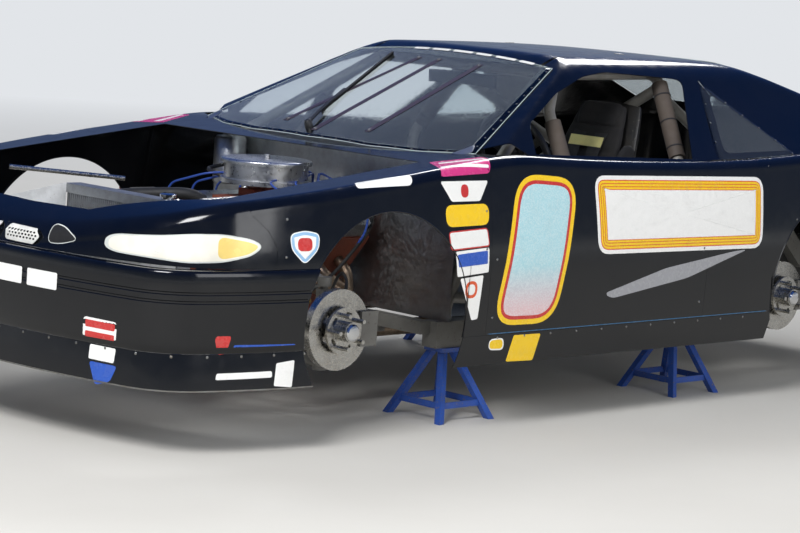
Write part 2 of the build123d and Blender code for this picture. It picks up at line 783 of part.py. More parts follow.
with BuildPart() as cage:
    hoop_foot, hoop_ankle = foot_of(on_hoop(rail_z1))
    tube([swap(hoop_foot, -1), swap(hoop_ankle, -1), swap(on_hoop(hoop_knee[1]), -1), swap(on_hoop(hoop_top[1]), -1),
          on_hoop(hoop_top[1]), on_hoop(hoop_knee[1]), hoop_ankle, hoop_foot], cage_tube, 90)
    for side in (1, -1):
        top = (at(screen_top[0]), side * screen_top[1], up(screen_top[2]))
        hoop_end = on_hoop(hoop_top[1])
        foot, ankle = foot_of(swap(on_leg(rail_z1), side))
        tube([foot, ankle, swap(on_leg(leg_knee[2]), side), top,
              (hoop_end[0], side * 470, hoop_end[2])], cage_tube, 120)
        tube([swap(on_leg(550), side), (at(-1130), side * 800, up(760)), (at(-1170), side * 620, up(1040)), top],
             cage_tube, 90)
        for z in (330.0, 480.0, 630.0):
            start, end = swap(on_leg(z), side), swap(on_hoop(z), side)
            tube([start, (at(-960), side * door_bar_y, up(z)), (at(-1480), side * door_bar_y, up(z)), end],
                 cage_tube, 160)
        foot, ankle = foot_of((at(aft(-233)), side * rear_clip_y, up(rear_kick)))
        tube([swap(on_hoop(1100), side), ankle, foot], cage_tube, 50)
    tube([(at(screen_top[0]), -screen_top[1], up(screen_top[2])), (at(screen_top[0]), screen_top[1], up(screen_top[2]))],
         cage_tube, 1)
    for place in (on_leg, on_hoop):
        tube([swap(place(dash_bar_z), -1), place(dash_bar_z)], cage_tube, 1)
    tube([on_hoop(1140), swap(on_hoop(330), -1)], cage_tube, 1)
with BuildPart() as roof_pads:
    for side in (1, -1):
        block(-1920, -1950, side * 300, side * 330, 1185, 1300)
with BuildPart() as pads:
    add(roof_pads)
    add(inside_cabin, mode=Mode.INTERSECT)
with BuildPart() as roll_cage:
    add(cage)
    add(pads)
finish(roll_cage.part, "roll_cage")

# Sheet metal: floor with its tunnel, firewall, rear bulkhead and dash
sheet = 2.0
floor_z = rail_z1 + seat_gap
floor_half = 598.0
firewall_x = -600.0
tunnel = [(165.0, floor_z), (135.0, 430.0), (105.0, 475.0)]
tunnel_line = tunnel + [(-y, z) for y, z in reversed(tunnel)]
with BuildPart() as floor_pan:
    with BuildSketch(Plane.YZ.offset(at(rail_rear))):
        with BuildLine():
            line = [(-floor_half, floor_z)] + tunnel_line[::-1] + [(floor_half, floor_z)]
            Polyline([(y, up(z)) for y, z in sheet_outline(line, sheet)], close=True)
        make_face()
    extrude(amount=firewall_x - sheet - seat_gap - rail_rear)
finish(floor_pan.part, "floor_pan")

wall_line = [(-700, floor_z), (-700, 780), (-640, 850), (640, 850), (700, 780), (700, floor_z)]
boot_floor = rear_kick - cross_drop + seat_gap
boot_line = [(rail_rear, floor_z), (aft(427), floor_z), (aft(247), boot_floor), (aft(-663), boot_floor)]
boot_half = 440.0
with BuildPart() as bulkheads:
    with BuildSketch(Plane.YZ.offset(at(firewall_x - sheet))):
        with BuildLine():
            Polyline([(y, up(z)) for y, z in wall_line + tunnel_line], close=True)
        make_face()
    extrude(amount=sheet)
    with BuildSketch(Plane.XZ.offset(-boot_half)):
        with BuildLine():
            Polyline([(at(x - seat_gap), up(z)) for x, z in sheet_outline(boot_line[::-1], sheet)], close=True)
        make_face()
    extrude(amount=2 * boot_half)
    with BuildSketch(Plane.YZ.offset(at(rail_rear - 400))):
        with BuildLine():
            Polyline([(y, up(z)) for y, z in tunnel_line], close=True)
        make_face()
    extrude(amount=400, mode=Mode.SUBTRACT)
finish(bulkheads.part, "bulkheads")

dash_half = 650.0
dash_line = [(firewall_x - sheet - seat_gap, 845), (-800, 850), (-840, 745)]
with BuildPart() as dash:
    with BuildSketch(Plane.XZ.offset(-dash_half)):
        with BuildLine():
            Polyline([(at(x), up(z)) for x, z in sheet_outline(dash_line, sheet)], close=True)
        make_face()
    extrude(amount=2 * dash_half)
finish(dash.part, "dash")

# Engine: block and heads in one vee, and on it the intake, carburettor, distributor, alternator and belt drive
crank_z = 330.0
engine_front = 20.0
engine_rear = -540.0
deck = [(110, 170), (engine_half, 200), (engine_half, 330), (300, 520), (205, 600), (120, 560)]
deck_low = deck[-1][1]
carb_x = -250.0
carb_top = 702.0
plenum_top = 650.0
runner_pitch = 110.0
spark_x = -485.0
belt_x = engine_front + 45
belt_wide = 12.0
rim_wide = 8.0
groove_deep = 14.0
pump_z = crank_z + 185
alternator = (-262.0, 360.0, 55.0)
pulleys = [(0.0, crank_z, 85.0), (0.0, pump_z, 70.0), (alternator[0], alternator[1], 36.0)]
with BuildPart() as engine:
    with BuildSketch(Plane.YZ.offset(at(engine_rear))):
        with BuildLine():
            Polyline([(y, up(z)) for y, z in deck + [(-y, z) for y, z in reversed(deck)]], close=True)
        make_face()
    extrude(amount=engine_front - engine_rear)
    block(carb_x - 180, carb_x + 180, -100, 100, deck_low - 10, plenum_top)
    for side in (1, -1):
        for port in range(4):
            x = at(carb_x + runner_pitch * (port - 1.5))
            tube([(x, side * 80, up(plenum_top - 22)), (x, side * 168, up(575))], 40, 1)
    block(carb_x - 75, carb_x + 75, -65, 65, plenum_top - 10, plenum_top + 12)
    block(carb_x - 52, carb_x + 52, -50, 50, plenum_top, carb_top - 14)
    for end in (1, -1):
        block(carb_x + end * 40, carb_x + end * 98, -44, 44, plenum_top + 6, carb_top - 20)
    cylinder_up(at(carb_x), 0, up(plenum_top), up(carb_top), 62)
    cylinder_up(at(spark_x), 0, up(deck_low - 10), up(640), 30)
    cylinder_up(at(spark_x), 0, up(640), up(684), 48)
    with BuildSketch(Plane(origin=(at(spark_x), 0, up(684)))):
        with PolarLocations(34, 8):
            Circle(8)
        Circle(9)
    extrude(amount=16)
    block(engine_front - 5, belt_x - 12, -58, 58, pump_z - 62, pump_z + 40)
    cylinder_along(at(engine_front - 60), at(belt_x - 14), alternator[0], up(alternator[1]), alternator[2])
    block(engine_front - 45, engine_front - 15, alternator[0], -engine_half + 5, alternator[1] - 15, alternator[1] + 15)
    for y, z, radius in pulleys:
        cylinder_along(at(engine_front - 10), at(belt_x), y, up(z), radius * 0.5)
        for start, wide, size in ((0, rim_wide, radius), (rim_wide, belt_wide, radius - groove_deep),
                                  (rim_wide + belt_wide, rim_wide, radius)):
            cylinder_along(at(belt_x + start), at(belt_x + start + wide), y, up(z), size)
    with BuildSketch(Plane.YZ.offset(at(belt_x + rim_wide))) as belt:
        for depth, mode in ((4, Mode.ADD), (10, Mode.SUBTRACT)):
            with BuildSketch(Plane.YZ.offset(at(belt_x + rim_wide)), mode=mode):
                for y, z, radius in pulleys:
                    with Locations((y, up(z))):
                        Circle(radius - depth)
                make_hull()
    extrude(belt.sketch, amount=belt_wide)
finish(engine.part, "engine")

cover_tall = 66.0
cover_wide = 112.0
cover_long = 510.0
rib_count = 5
rib_pitch = 16.0
rib_tall = 4.0
with BuildPart() as covers:
    for side in (1, -1):
        way = Vector(0, side * 80, 95).normalized()
        middle = Vector(at(-260), side * (deck[3][0] + deck[4][0]) / 2, up((deck[3][1] + deck[4][1]) / 2)) + way * seat_gap
        with BuildSketch(Plane(origin=middle, x_dir=(1, 0, 0), z_dir=way)):
            RectangleRounded(cover_long, cover_wide, 22)
        extrude(amount=cover_tall)
        crown = Plane(origin=middle + way * cover_tall, x_dir=(1, 0, 0), z_dir=way)
        with BuildSketch(crown) as ribs:
            with GridLocations(1, rib_pitch, 1, rib_count):
                Rectangle(cover_long - 60, 5)
        extrude(ribs.sketch, amount=rib_tall)
        with BuildSketch(crown) as caps:
            with Locations((side * 175, 0)):
                Circle(27)
        extrude(caps.sketch, amount=36)
finish(covers.part, "valve_covers")

# Air cleaner: a filter ring between a base and a lid, with the nut that holds them
cleaner_radius = 178.0
cleaner_tall = 96.0
plate_tall = 18.0
with BuildPart() as cleaner:
    for low, high, radius in ((seat_gap, plate_tall, cleaner_radius),
                              (plate_tall, cleaner_tall - plate_tall, cleaner_radius - 14),
                              (cleaner_tall - plate_tall, cleaner_tall, cleaner_radius)):
        cylinder_up(at(carb_x), 0, up(carb_top + low), up(carb_top + high), radius)
    fillet(cleaner.edges().filter_by(GeomType.CIRCLE).sort_by(Axis.Z)[-1], radius=9)
    cylinder_up(at(carb_x), 0, up(carb_top + cleaner_tall - 2), up(carb_top + cleaner_tall + 16), 12)
finish(cleaner.part, "air_cleaner")

header_tube = 44.0
pipe = 63.5
pipe_z = 155.0
port_pitch = 125.0
with BuildPart() as exhaust:
    for side in (1, -1):
        for port in range(4):
            x = -75 - port * port_pitch
            face = Vector(at(x), side * 225, up(425)) + Vector(0, side * 190, -150).normalized() * seat_gap
            knee = face + Vector(0, side * 190, -150).normalized() * 70
            tube([tuple(face), tuple(knee), (at(-440 - 6 * port), side * (292 - 3 * port), up(288 + 8 * port))],
                 header_tube, 34)
        tube([(at(-400), side * 292, up(312)), (at(-455), side * 290, up(285)), (at(-462), side * 290, up(pipe_z)),
              (at(-1600), side * 290, up(pipe_z)), (at(-1860), side * 500, up(pipe_z))], pipe, 60)
finish(exhaust.part, "exhaust")

bell = 150.0
case_x = engine_rear - 170
tail_x = case_x - 330
gearbox_end = tail_x - 280
with BuildPart() as gearbox:
    with BuildSketch(Plane(origin=(at(engine_rear - seat_gap), 0, up(crank_z)), z_dir=(-1, 0, 0))):
        Circle(bell)
    with BuildSketch(Plane(origin=(at(case_x), 0, up(crank_z)), z_dir=(-1, 0, 0))):
        Circle(100)
    loft()
    with BuildSketch(Plane(origin=(at(case_x), 0, up(crank_z)), z_dir=(-1, 0, 0))):
        RectangleRounded(176, 176, 20)
    extrude(amount=330)
    cylinder_along(at(tail_x), at(gearbox_end), 0, up(crank_z), 48)
    block(-1250, -1200, -40, 40, rail_z1 + seat_gap, crank_z)
finish(gearbox.part, "gearbox")

# Radiator on the front cross member and the white duct from the nose opening to it
radiator_x = 425.0
radiator_half = 330.0
radiator_deep = 60.0
tank_deep = 76.0
tank_tall = 34.0
radiator_low = rail_z1 + seat_gap
radiator_top = 677.0
with BuildPart() as radiator:
    block(radiator_x - radiator_deep / 2, radiator_x + radiator_deep / 2, -radiator_half, radiator_half,
          radiator_low, radiator_top)
    for z in (radiator_low, radiator_top - tank_tall):
        block(radiator_x - tank_deep / 2, radiator_x + tank_deep / 2, -radiator_half - 10, radiator_half + 10,
              z, z + tank_tall)
finish(radiator.part, "radiator")

duct_front = 850.0
duct_rear = radiator_x + tank_deep / 2 + seat_gap
duct_low = (300.0, 490.0)
duct_high = (680.0, 615.0)
with BuildPart() as duct:
    with BuildSketch(Plane.XZ.offset(-radiator_half)):
        with BuildLine():
            Polyline([(at(duct_rear), up(duct_low[0])), (at(duct_rear), up(duct_high[0])),
                      (at(duct_front), up(duct_high[1])), (at(duct_front), up(duct_low[1]))], close=True)
        make_face()
    extrude(amount=2 * radiator_half)
    slope = (duct_low[1] - duct_low[0]) / (duct_front - duct_rear)
    with BuildSketch(Plane.XZ.offset(-radiator_half + sheet)):
        with BuildLine():
            Polyline([(at(duct_rear - 10), up(duct_low[0] + 3 - 10 * slope)), (at(duct_rear - 10), up(760)),
                      (at(duct_front + 10), up(760)), (at(duct_front + 10), up(duct_low[1] + 3 + 10 * slope))],
                     close=True)
        make_face()
    extrude(amount=2 * radiator_half - 2 * sheet, mode=Mode.SUBTRACT)
finish(duct.part, "air_duct")

# Wheel hubs: sizes shared by the axle and the knuckles
hub_face = 748.0
hub_width = 62.0
hub_inner = hub_face - hub_width
hub_barrel = 52.0
spindle = 50.0
spindle_play = 0.08
disc_radius = 150.0
disc_thick = 32.0
disc_in = hub_inner + 2
flange_radius = 87.0
flange_thick = 11.0
snout_radius = 37.0
snout_length = 42.0
stud_circle = 127.0
stud_diameter = 16.0
stud_length = 48.0
stud_count = 5
flange_slot = (32.0, 14.0)
running_gap = 5.0
caliper_tall = 130.0
caliper_reach = (95.0, 178.0)      # from the hub's axis, outwards
caliper_in = hub_inner - 31
camber = 0.3                       # degrees by which the wheels' tops lean in


def leaned(piece, x, side):
    """A wheel-end piece turned by the camber about the middle of the hub's face."""
    return piece.rotate(Axis((x, side * hub_face, hub_height), (1, 0, 0)), side * camber)


def spindle_stub(x, side, start):
    """Spindle that stands out of an axle or knuckle into the hub, from a distance from the car's middle."""
    with BuildPart() as piece:
        cylinder_across(x, side * start, side * (hub_face - 22), hub_height, spindle / 2)
    return leaned(piece.part, x, side)


def caliper(x, side):
    """Brake caliper behind the axle, astride the disc, to add to what carries it."""
    with BuildPart() as room:
        cylinder_across(x, side * (disc_in - running_gap), side * (disc_in + disc_thick + running_gap),
                        hub_height, disc_radius + running_gap)
        cylinder_across(x, side * (disc_in + disc_thick), side * (hub_face + 5), hub_height,
                        flange_radius + running_gap)
    with BuildPart() as piece:
        low, high = caliper_reach
        with Locations((x - (low + high) / 2, side * (caliper_in + hub_face - 10) / 2, hub_height)):
            Box(high - low, hub_face - 10 - caliper_in, caliper_tall)
        add(leaned(room.part, x, side), mode=Mode.SUBTRACT)
    return piece.part


def hub(x, side):
    """Wheel hub with its brake disc, slotted flange, studs and snout, turning on a spindle.

    The right hubs stand half a pitch on from the left ones.
    """
    face = Plane(origin=(x, side * hub_face, hub_height), x_dir=(1, 0, 0), z_dir=(0, side, 0))
    half_pitch = 180 / stud_count
    turn = 0 if side > 0 else half_pitch
    with BuildPart() as piece:
        cylinder_across(x, side * hub_inner, side * hub_face, hub_height, hub_barrel)
        cylinder_across(x, side * (hub_face - flange_thick), side * hub_face, hub_height, flange_radius)
        cylinder_across(x, side * disc_in, side * (disc_in + disc_thick), hub_height, disc_radius)
        cylinder_across(x, side * hub_face, side * (hub_face + snout_length), hub_height, snout_radius)
        cylinder_across(x, side * hub_inner, side * (hub_face - 8), hub_height, spindle / 2 + spindle_play,
                        mode=Mode.SUBTRACT)
        with BuildSketch(face):
            with PolarLocations(stud_circle / 2, stud_count, start_angle=turn):
                Circle(stud_diameter / 2)
        extrude(amount=stud_length)
        with BuildSketch(face) as slots:
            with PolarLocations(stud_circle / 2, stud_count, start_angle=turn + half_pitch):
                SlotOverall(*flange_slot, rotation=90)
        extrude(slots.sketch, amount=-flange_thick, mode=Mode.SUBTRACT)
    return leaned(piece.part, x, side)


# Rear axle, driveshaft, and the springs
axle_tube = 76.0
diff = ((-115.0, 90.0), (0.0, 150.0), (150.0, 55.0))
arm_y = 560.0
eye_radius = 24.0
eye_half = 26.0
eye_plate = 10.0
arm_drop = 105.0
arm_back = 30.0
spring_radius = 60.0
axle_end = hub_inner - 6
with BuildPart() as axle:
    cylinder_across(rear_axle, -axle_end, axle_end, hub_height, axle_tube / 2)
    for x, radius in diff:
        with BuildSketch(Plane(origin=(rear_axle + x, 0, hub_height), z_dir=(1, 0, 0))):
            Circle(radius)
    loft(ruled=True)
    for side in (1, -1):
        for shift in (1, -1):
            y = side * arm_y + shift * (eye_half + seat_gap + eye_plate / 2)
            with Locations((rear_axle + arm_back / 2 + 5, y, hub_height - arm_drop / 2)):
                Box(arm_back + 50, eye_plate, arm_drop + 50)
        with Locations((rear_axle, side * rear_clip_y, hub_height + 36)):
            Box(100, 100, 14)
        with Locations((rear_axle - 60, side * (caliper_in + 8), hub_height)):
            Box(100, 16, 50)
        add(spindle_stub(rear_axle, side, axle_end - 40))
        add(caliper(rear_axle, side))
finish(axle.part, "rear_axle")

with BuildPart() as shaft:
    with BuildSketch(Plane.YZ.offset(at(gearbox_end - seat_gap))):
        with Locations((0, up(crank_z))):
            Circle(38)
    start = Vector(at(gearbox_end - seat_gap), 0, up(crank_z))
    finish_point = Vector(rear_axle + diff[-1][0] + seat_gap, 0, hub_height)
    extrude(amount=(finish_point - start).length, dir=(finish_point - start).normalized())
finish(shaft.part, "driveshaft")

# Suspension arms: trailing arms behind, wishbones in front
kingpin_y = 628.0
ball_low = hub_height - 120.0
ball_high = hub_height + 150.0
ball_gap = 0.5
cup_radius = 26.0
lower_pivot_z = 205.0
upper_pivot_z = 450.0
bush = 20.0
upper_bush = 15.0


def tower_face(z):
    """Side of the shock tower's outer face at a running height."""
    return clip_face + 32 + 13 * (z - bucket_z) / (tower_top - bucket_z)


with BuildPart() as arms:
    for side in (1, -1):
        rear_eye = (rear_axle + arm_back, side * arm_y, hub_height - arm_drop)
        front_eye = (at(-1900), side * arm_y, up(rail_z0 + 28))
        tube([rear_eye, front_eye], 38, 1)
        cylinder_across(rear_eye[0], side * (arm_y - eye_half), side * (arm_y + eye_half), rear_eye[2], eye_radius)
        cylinder_across(front_eye[0], side * (arm_y - eye_half), side * (rail_y - rail_width / 2 - seat_gap),
                        front_eye[2], eye_radius)
        for x in (120.0, -150.0):
            inner = (at(x), side * (clip_face + seat_gap + bush), up(lower_pivot_z))
            tube([inner, (front_axle, side * kingpin_y, ball_low - 28)], 34, 1)
            cylinder_along(inner[0] - 25, inner[0] + 25, inner[1], inner[2], bush)
        with Locations((at(-12), side * front_spring_y, up(lower_pivot_z - 24))):
            Box(210, 90, 10)
        for x in (45.0, -45.0):
            inner = (at(x), side * (tower_face(upper_pivot_z) + seat_gap + upper_bush + 1), up(upper_pivot_z))
            tube([inner, (front_axle, side * kingpin_y, ball_high + 18)], 26, 1)
            cylinder_along(inner[0] - 15, inner[0] + 15, inner[1], inner[2], upper_bush)
        cylinder_up(front_axle, side * kingpin_y, ball_low - 41, ball_low - ball_gap, cup_radius)
        cylinder_up(front_axle, side * kingpin_y, ball_high + ball_gap, ball_high + 34, cup_radius)
finish(arms.part, "suspension_arms")

with BuildPart() as springs:
    for side in (1, -1):
        cylinder_up(rear_axle, side * rear_clip_y, hub_height + 43 + seat_gap, up(rear_kick - clip_deep) - seat_gap,
                    spring_radius)
        cylinder_up(front_axle, side * front_spring_y, up(lower_pivot_z - 19) + seat_gap, up(bucket_z) - seat_gap, 52)
finish(springs.part, "springs")

# Steered knuckles with spindle, steering arm and caliper, and the rack that moves them
steer_arm = 150.0
steer_arm_z = hub_height - 92
eye_y = kingpin_y - 6
rod = 18.0
rod_eye = 18.0
rod_thick = 20.0


def knuckle(side):
    """Front upright: spindle, body between the two ball joints, steering arm and caliper."""
    with BuildPart() as piece:
        cylinder_across(front_axle, side * (hub_inner - 36), side * (hub_inner - 6), hub_height, 46)
        add(spindle_stub(front_axle, side, hub_inner - 26))
        with Locations((front_axle, side * kingpin_y, (ball_low + ball_high) / 2 + 4)):
            Box(44, 40, ball_high - ball_low - 32)
        cylinder_up(front_axle, side * kingpin_y, ball_low, ball_high, 14)
        with Locations((front_axle, side * (kingpin_y + 14), hub_height)):
            Box(60, 40, 96)
        with Locations((front_axle + steer_arm / 2, side * eye_y, steer_arm_z)):
            Box(steer_arm, 28, 20)
        cylinder_up(front_axle + steer_arm, side * eye_y, steer_arm_z - 10, steer_arm_z + 10, rod_eye)
        with Locations((front_axle - 62, side * (caliper_in + 4), hub_height)):
            Box(124, 20, 60)
        add(caliper(front_axle, side))
    return piece.part


for place, x in (("front", front_axle), ("rear", rear_axle)):
    for word, side in (("left", 1), ("right", -1)):
        finish(hub(x, side), f"hub_{place}_{word}")
for word, side in (("left", 1), ("right", -1)):
    finish(knuckle(side), f"knuckle_{word}")

rod_z = steer_arm_z - 10 - seat_gap - rod_thick / 2
with BuildPart() as rack:
    cylinder_across(front_axle + steer_arm, -eye_y, eye_y, rod_z, rod / 2)
    for side in (1, -1):
        cylinder_up(front_axle + steer_arm, side * eye_y, rod_z - rod_thick / 2, rod_z + rod_thick / 2, rod_eye)
finish(rack.part, "steering_rack")

# Steering wheel and column
wheel_y = 400.0
wheel_x = -1235.0
wheel_z = 835.0
column_tilt = 20.0
wheel_radius = 185.0
grip = 28.0
wheel_hub = 45.0
hub_back = 32.0
column_long = 560.0
column_tube = 38.0
back_way = Vector(-cos(radians(column_tilt)), 0, sin(radians(column_tilt)))
wheel_centre = Vector(at(wheel_x), wheel_y, up(wheel_z))
wheel_plane = Plane(origin=wheel_centre, x_dir=(0, 1, 0), z_dir=back_way)
with BuildPart() as steering_wheel:
    with BuildSketch(Plane(origin=wheel_centre, x_dir=(0, 1, 0), z_dir=back_way.cross(Vector(0, 1, 0)))):
        with Locations((wheel_radius, 0)):
            Circle(grip / 2)
    revolve(axis=Axis(wheel_centre, back_way))
    with BuildSketch(wheel_plane.offset(-hub_back)):
        Circle(wheel_hub)
    extrude(amount=24)
    with BuildSketch(wheel_plane.offset(-14)):
        with PolarLocations(wheel_radius / 2, 3, start_angle=90):
            Rectangle(wheel_radius - 6, 34)
    extrude(amount=5)
finish(steering_wheel.part, "steering_wheel")

column_start = wheel_centre - back_way * (hub_back + seat_gap)
clamp_x = on_leg(dash_bar_z)[0]
with BuildPart() as column:
    tube([tuple(column_start), tuple(column_start - back_way * column_long)], column_tube, 1)
    drop = wheel_centre.Z - (clamp_x - wheel_centre.X) * tan(radians(column_tilt))
    low, high = drop, up(dash_bar_z) - cage_tube / 2 - seat_gap
    with Locations((clamp_x, wheel_y, (low + high) / 2)):
        Box(24, 30, high - low)
finish(column.part, "steering_column")

# Seat: a bent shell in side view, with side walls
seat_y = 410.0
seat_wide = 430.0
seat_wall = 40.0
with BuildPart() as seat:
    with BuildSketch(Plane.XZ.offset(-seat_y - seat_wide / 2)):
        with BuildLine():
            Polyline([(at(x), up(z)) for x, z in (
                (-1200, floor_z + sheet + seat_gap), (-1190, 400), (-1290, 450), (-1480, 430), (-1740, 1060),
                (-1790, 1085), (-1830, 1060), (-1650, 400), (-1600, floor_z + sheet + seat_gap))], close=True)
        make_face()
    extrude(amount=seat_wide)
    with BuildSketch(Plane.XZ.offset(-seat_y - seat_wide / 2 + seat_wall)):
        with BuildLine():
            Polyline([(at(x), up(z)) for x, z in (
                (-1100, 370), (-1100, 700), (-1700, 1250), (-1820, 1250), (-1590, 400), (-1540, 335),
                (-1300, 345))], close=True)
        make_face()
    extrude(amount=seat_wide - 2 * seat_wall, mode=Mode.SUBTRACT)
finish(seat.part, "seat")

# Fuel cell between the rear frame rails
with BuildPart() as cell:
    half = rear_clip_y - clip_width / 2 - seat_gap
    block(aft(-763), aft(-343), -half, half, 235, 470)
finish(cell.part, "fuel_cell")

# Spoiler on the decklid
spoiler_x = aft(-1033)
spoiler_half = 588.0
spoiler_line = [(0, 0), (-44, 1.5), (-96, 124)]
with BuildPart() as spoiler:
    with BuildSketch(Plane.XZ.offset(-spoiler_half)):
        with BuildLine():
            foot_z = top_height(spoiler_x, 0) + 0.6
            line = [(spoiler_x + x, foot_z + z) for x, z in reversed(spoiler_line)]
            Polyline([(at(x), up(z)) for x, z in sheet_outline(line, 3)], close=True)
        make_face()
    extrude(amount=2 * spoiler_half)
finish(spoiler.part, "spoiler")

# Axle stands of square tube and flat bar, under the rails
stand_half = 138.0
head_half = 25.0
leg_wide = 26.0
brace_z = 62.0
brace_tall = 24.0
brace_thick = 8.0
saddle = (110.0, 96.0, 16.0)
stand_places = [(x, side * rail_y) for x in (-640.0, -2035.0) for side in (1, -1)]
stand_top = rail_bottom - seat_gap
with BuildPart() as stands:
    for x, y in stand_places:
        for dx in (1, -1):
            for dy in (1, -1):
                foot = Vector(at(x) + dx * stand_half, y + dy * stand_half, 0)
                head = Vector(at(x) + dx * head_half, y + dy * head_half, stand_top - 8)
                way = (head - foot).normalized()
                with BuildSketch(Plane(origin=foot - way * 20, z_dir=way)):
                    Rectangle(leg_wide, leg_wide)
                extrude(amount=(head - foot).length + 20)
        reach = stand_half - (stand_half - head_half) * brace_z / (stand_top - 8)
        for dx, dy in ((1, 0), (-1, 0), (0, 1), (0, -1)):
            with Locations((at(x) + dx * reach, y + dy * reach, brace_z)):
                Box(brace_thick if dx else 2 * reach, brace_thick if dy else 2 * reach, brace_tall)
        with Locations((at(x), y, stand_top - saddle[2] / 2)):
            Box(*saddle)
    with Locations((0, 0, -100)):
        Box(6000, 3000, 200, mode=Mode.SUBTRACT)
    with Locations((0, 0, stand_top + 50)):
        Box(6000, 3000, 100, mode=Mode.SUBTRACT)
finish(stands.part, "axle_stands")
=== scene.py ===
"""Looks of a two-door stock car on axle stands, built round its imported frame.

Metres, +X forward, +Y to the driver's side, +Z up. Body curves are written in millimetres, in stations
from the front axle and in running heights, and place() turns them into the frame.
"""

from math import asin, atan2, cos, degrees, hypot, pi, radians, sin, tan

import bpy
import numpy as np
from mathutils import Matrix, Vector


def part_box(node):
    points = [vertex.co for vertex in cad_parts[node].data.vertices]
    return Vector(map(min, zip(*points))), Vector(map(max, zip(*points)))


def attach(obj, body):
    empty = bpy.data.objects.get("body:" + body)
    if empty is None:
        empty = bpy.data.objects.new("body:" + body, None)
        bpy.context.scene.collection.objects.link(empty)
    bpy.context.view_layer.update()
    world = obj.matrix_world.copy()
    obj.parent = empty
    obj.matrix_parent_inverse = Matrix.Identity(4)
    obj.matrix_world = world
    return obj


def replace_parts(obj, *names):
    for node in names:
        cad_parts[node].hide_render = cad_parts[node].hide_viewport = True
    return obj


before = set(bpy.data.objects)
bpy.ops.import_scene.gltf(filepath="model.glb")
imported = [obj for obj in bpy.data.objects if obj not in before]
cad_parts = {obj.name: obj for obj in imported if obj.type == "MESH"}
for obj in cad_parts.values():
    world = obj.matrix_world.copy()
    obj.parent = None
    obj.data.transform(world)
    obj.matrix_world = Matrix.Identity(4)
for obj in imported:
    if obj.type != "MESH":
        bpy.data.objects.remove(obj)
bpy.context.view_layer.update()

bl_info = {
    "name": "Stock car looks",
    "version": (1, 0, 0),
    "blender": (4, 5, 0),
    "location": "View3D > Sidebar > Stock car",
    "description": "Dresses the stock car's frame with smooth panels, glass, trim and finishes",
    "category": "Object",
}

# The frame's own places
hub_low, hub_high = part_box("hub_front_left")
FRONT = (hub_low.x + hub_high.x) * 500       # front axle, mm ahead of the origin
LIFT = 132.0                                 # what the stands add to the running height


# Curves: chains of arcs, each tangent to the one before
def chain(start, heading, points, end_heading=None):
    """Joints (u, v, heading) of tangent arcs through the points; a last one meets v = 0 square."""
    joints = [(start[0], start[1], heading)]
    for u, v in points:
        u0, v0, before = joints[-1]
        after = 2 * degrees(atan2(v - v0, u - u0)) - before
        joints.append((u, v, (after + 180) % 360 - 180))
    if end_heading is not None:
        u0, v0, before = joints[-1]
        half_turn = radians((before + end_heading) / 2)
        joints.append((u0 - v0 / tan(half_turn), 0.0, end_heading))
    return joints


def trace(joints, count=96):
    """Points along the arcs: each lies at chord length L sin(turn t / 2) / sin(turn / 2) from the arc's
    start."""
    runs = []
    share = np.linspace(0, 1, count)
    for (u0, v0, a0), (u1, v1, a1) in zip(joints, joints[1:]):
        turn = radians((a1 - a0 + 180) % 360 - 180)
        length = hypot(u1 - u0, v1 - v0)
        reach = length * share if abs(turn) < 1e-4 else length * np.sin(turn * share / 2) / sin(turn / 2)
        way = radians(a0) + turn * share / 2
        runs.append(np.c_[u0 + reach * np.cos(way), v0 + reach * np.sin(way)][(1 if runs else 0):])
    return np.concatenate(runs)


def lengths(line):
    """Distance along a line of points, from its first."""
    return np.r_[0, np.cumsum(np.linalg.norm(np.diff(line, axis=0), axis=1))]


def directions(line, *run):
    """Unit vectors along a line at its points, by differences over their distances, or over their count."""
    way = np.gradient(line, *run, axis=0)
    return way / np.linalg.norm(way, axis=1)[:, None]


def follow(line, run, at):
    """Points of a line where a measure along it, run at the line's own points, has the values at."""
    return np.stack([np.interp(at, run, column) for column in np.transpose(line)], -1)


# Outlines of the body as (station, distance from the middle) in plan and (station, height) from the side
HALF_WIDTH = 966.0
plan_front = trace(chain((50, HALF_WIDTH - 4), 0, [(600, 893), (870, 660)], -90))
plan_rear = trace(chain((-2600, HALF_WIDTH - 4), 180, [(-3535, 905), (-3765, 700)], 270))
plan_line = np.concatenate([plan_rear[::-1], plan_front])
plan_run = lengths(plan_line)
plan_way = directions(plan_line, plan_run)
bumper_line = trace(chain((50, HALF_WIDTH), 0, [(350, 957), (800, 875), (965, 700)], -90))
bumper_run = lengths(bumper_line)
bumper_way = directions(bumper_line, bumper_run)
top_front = trace(chain((-1850, 866), 0, [(-820, 896), (-560, 888), (600, 746), (1003, 560)]))
top_rear = trace(chain((-1850, 866), 180, [(-2480, 885), (-3100, 922), (-3860, 942)]))
top_line = np.concatenate([top_rear[::-1], top_front[1:]])

# Heights of the side, and what shapes it
SKIRT_BOTTOM, SKIRT_SEAM, CREASE, WAIST = 120.0, 234.0, 518.0, 500.0
SHOULDER, TUMBLEHOME, TUCK = 45.0, 42.0, 14.0
SEAM = 0.8                                   # gap between two panels
half_seam = SEAM / 2
TUCK_POWER, LEAN_POWER = 1.7, 1.5            # how the side's curve gathers towards the skirt and the shoulder
LEAN_RISE, SHOULDER_ROOM = 400.0, 8.0        # height over which the lean grows, least height under a shoulder
JOINT_CURVE = ([518, 588, 650, 703, 760], [8, 5, 40, 103, 140])    # height, how far the nose joint runs ahead
JOINT_FADE = ([200, 500, 860], [0, 1, 0])    # station, how far columns there follow the joint


def top(x):
    """Height of the fender, belt and deck line at a station."""
    return np.interp(x, top_line[:, 0], top_line[:, 1])


def run_at(x):
    """Distance along the body's plan where its left side passes a station."""
    return np.interp(x, plan_line[:, 0], plan_run)


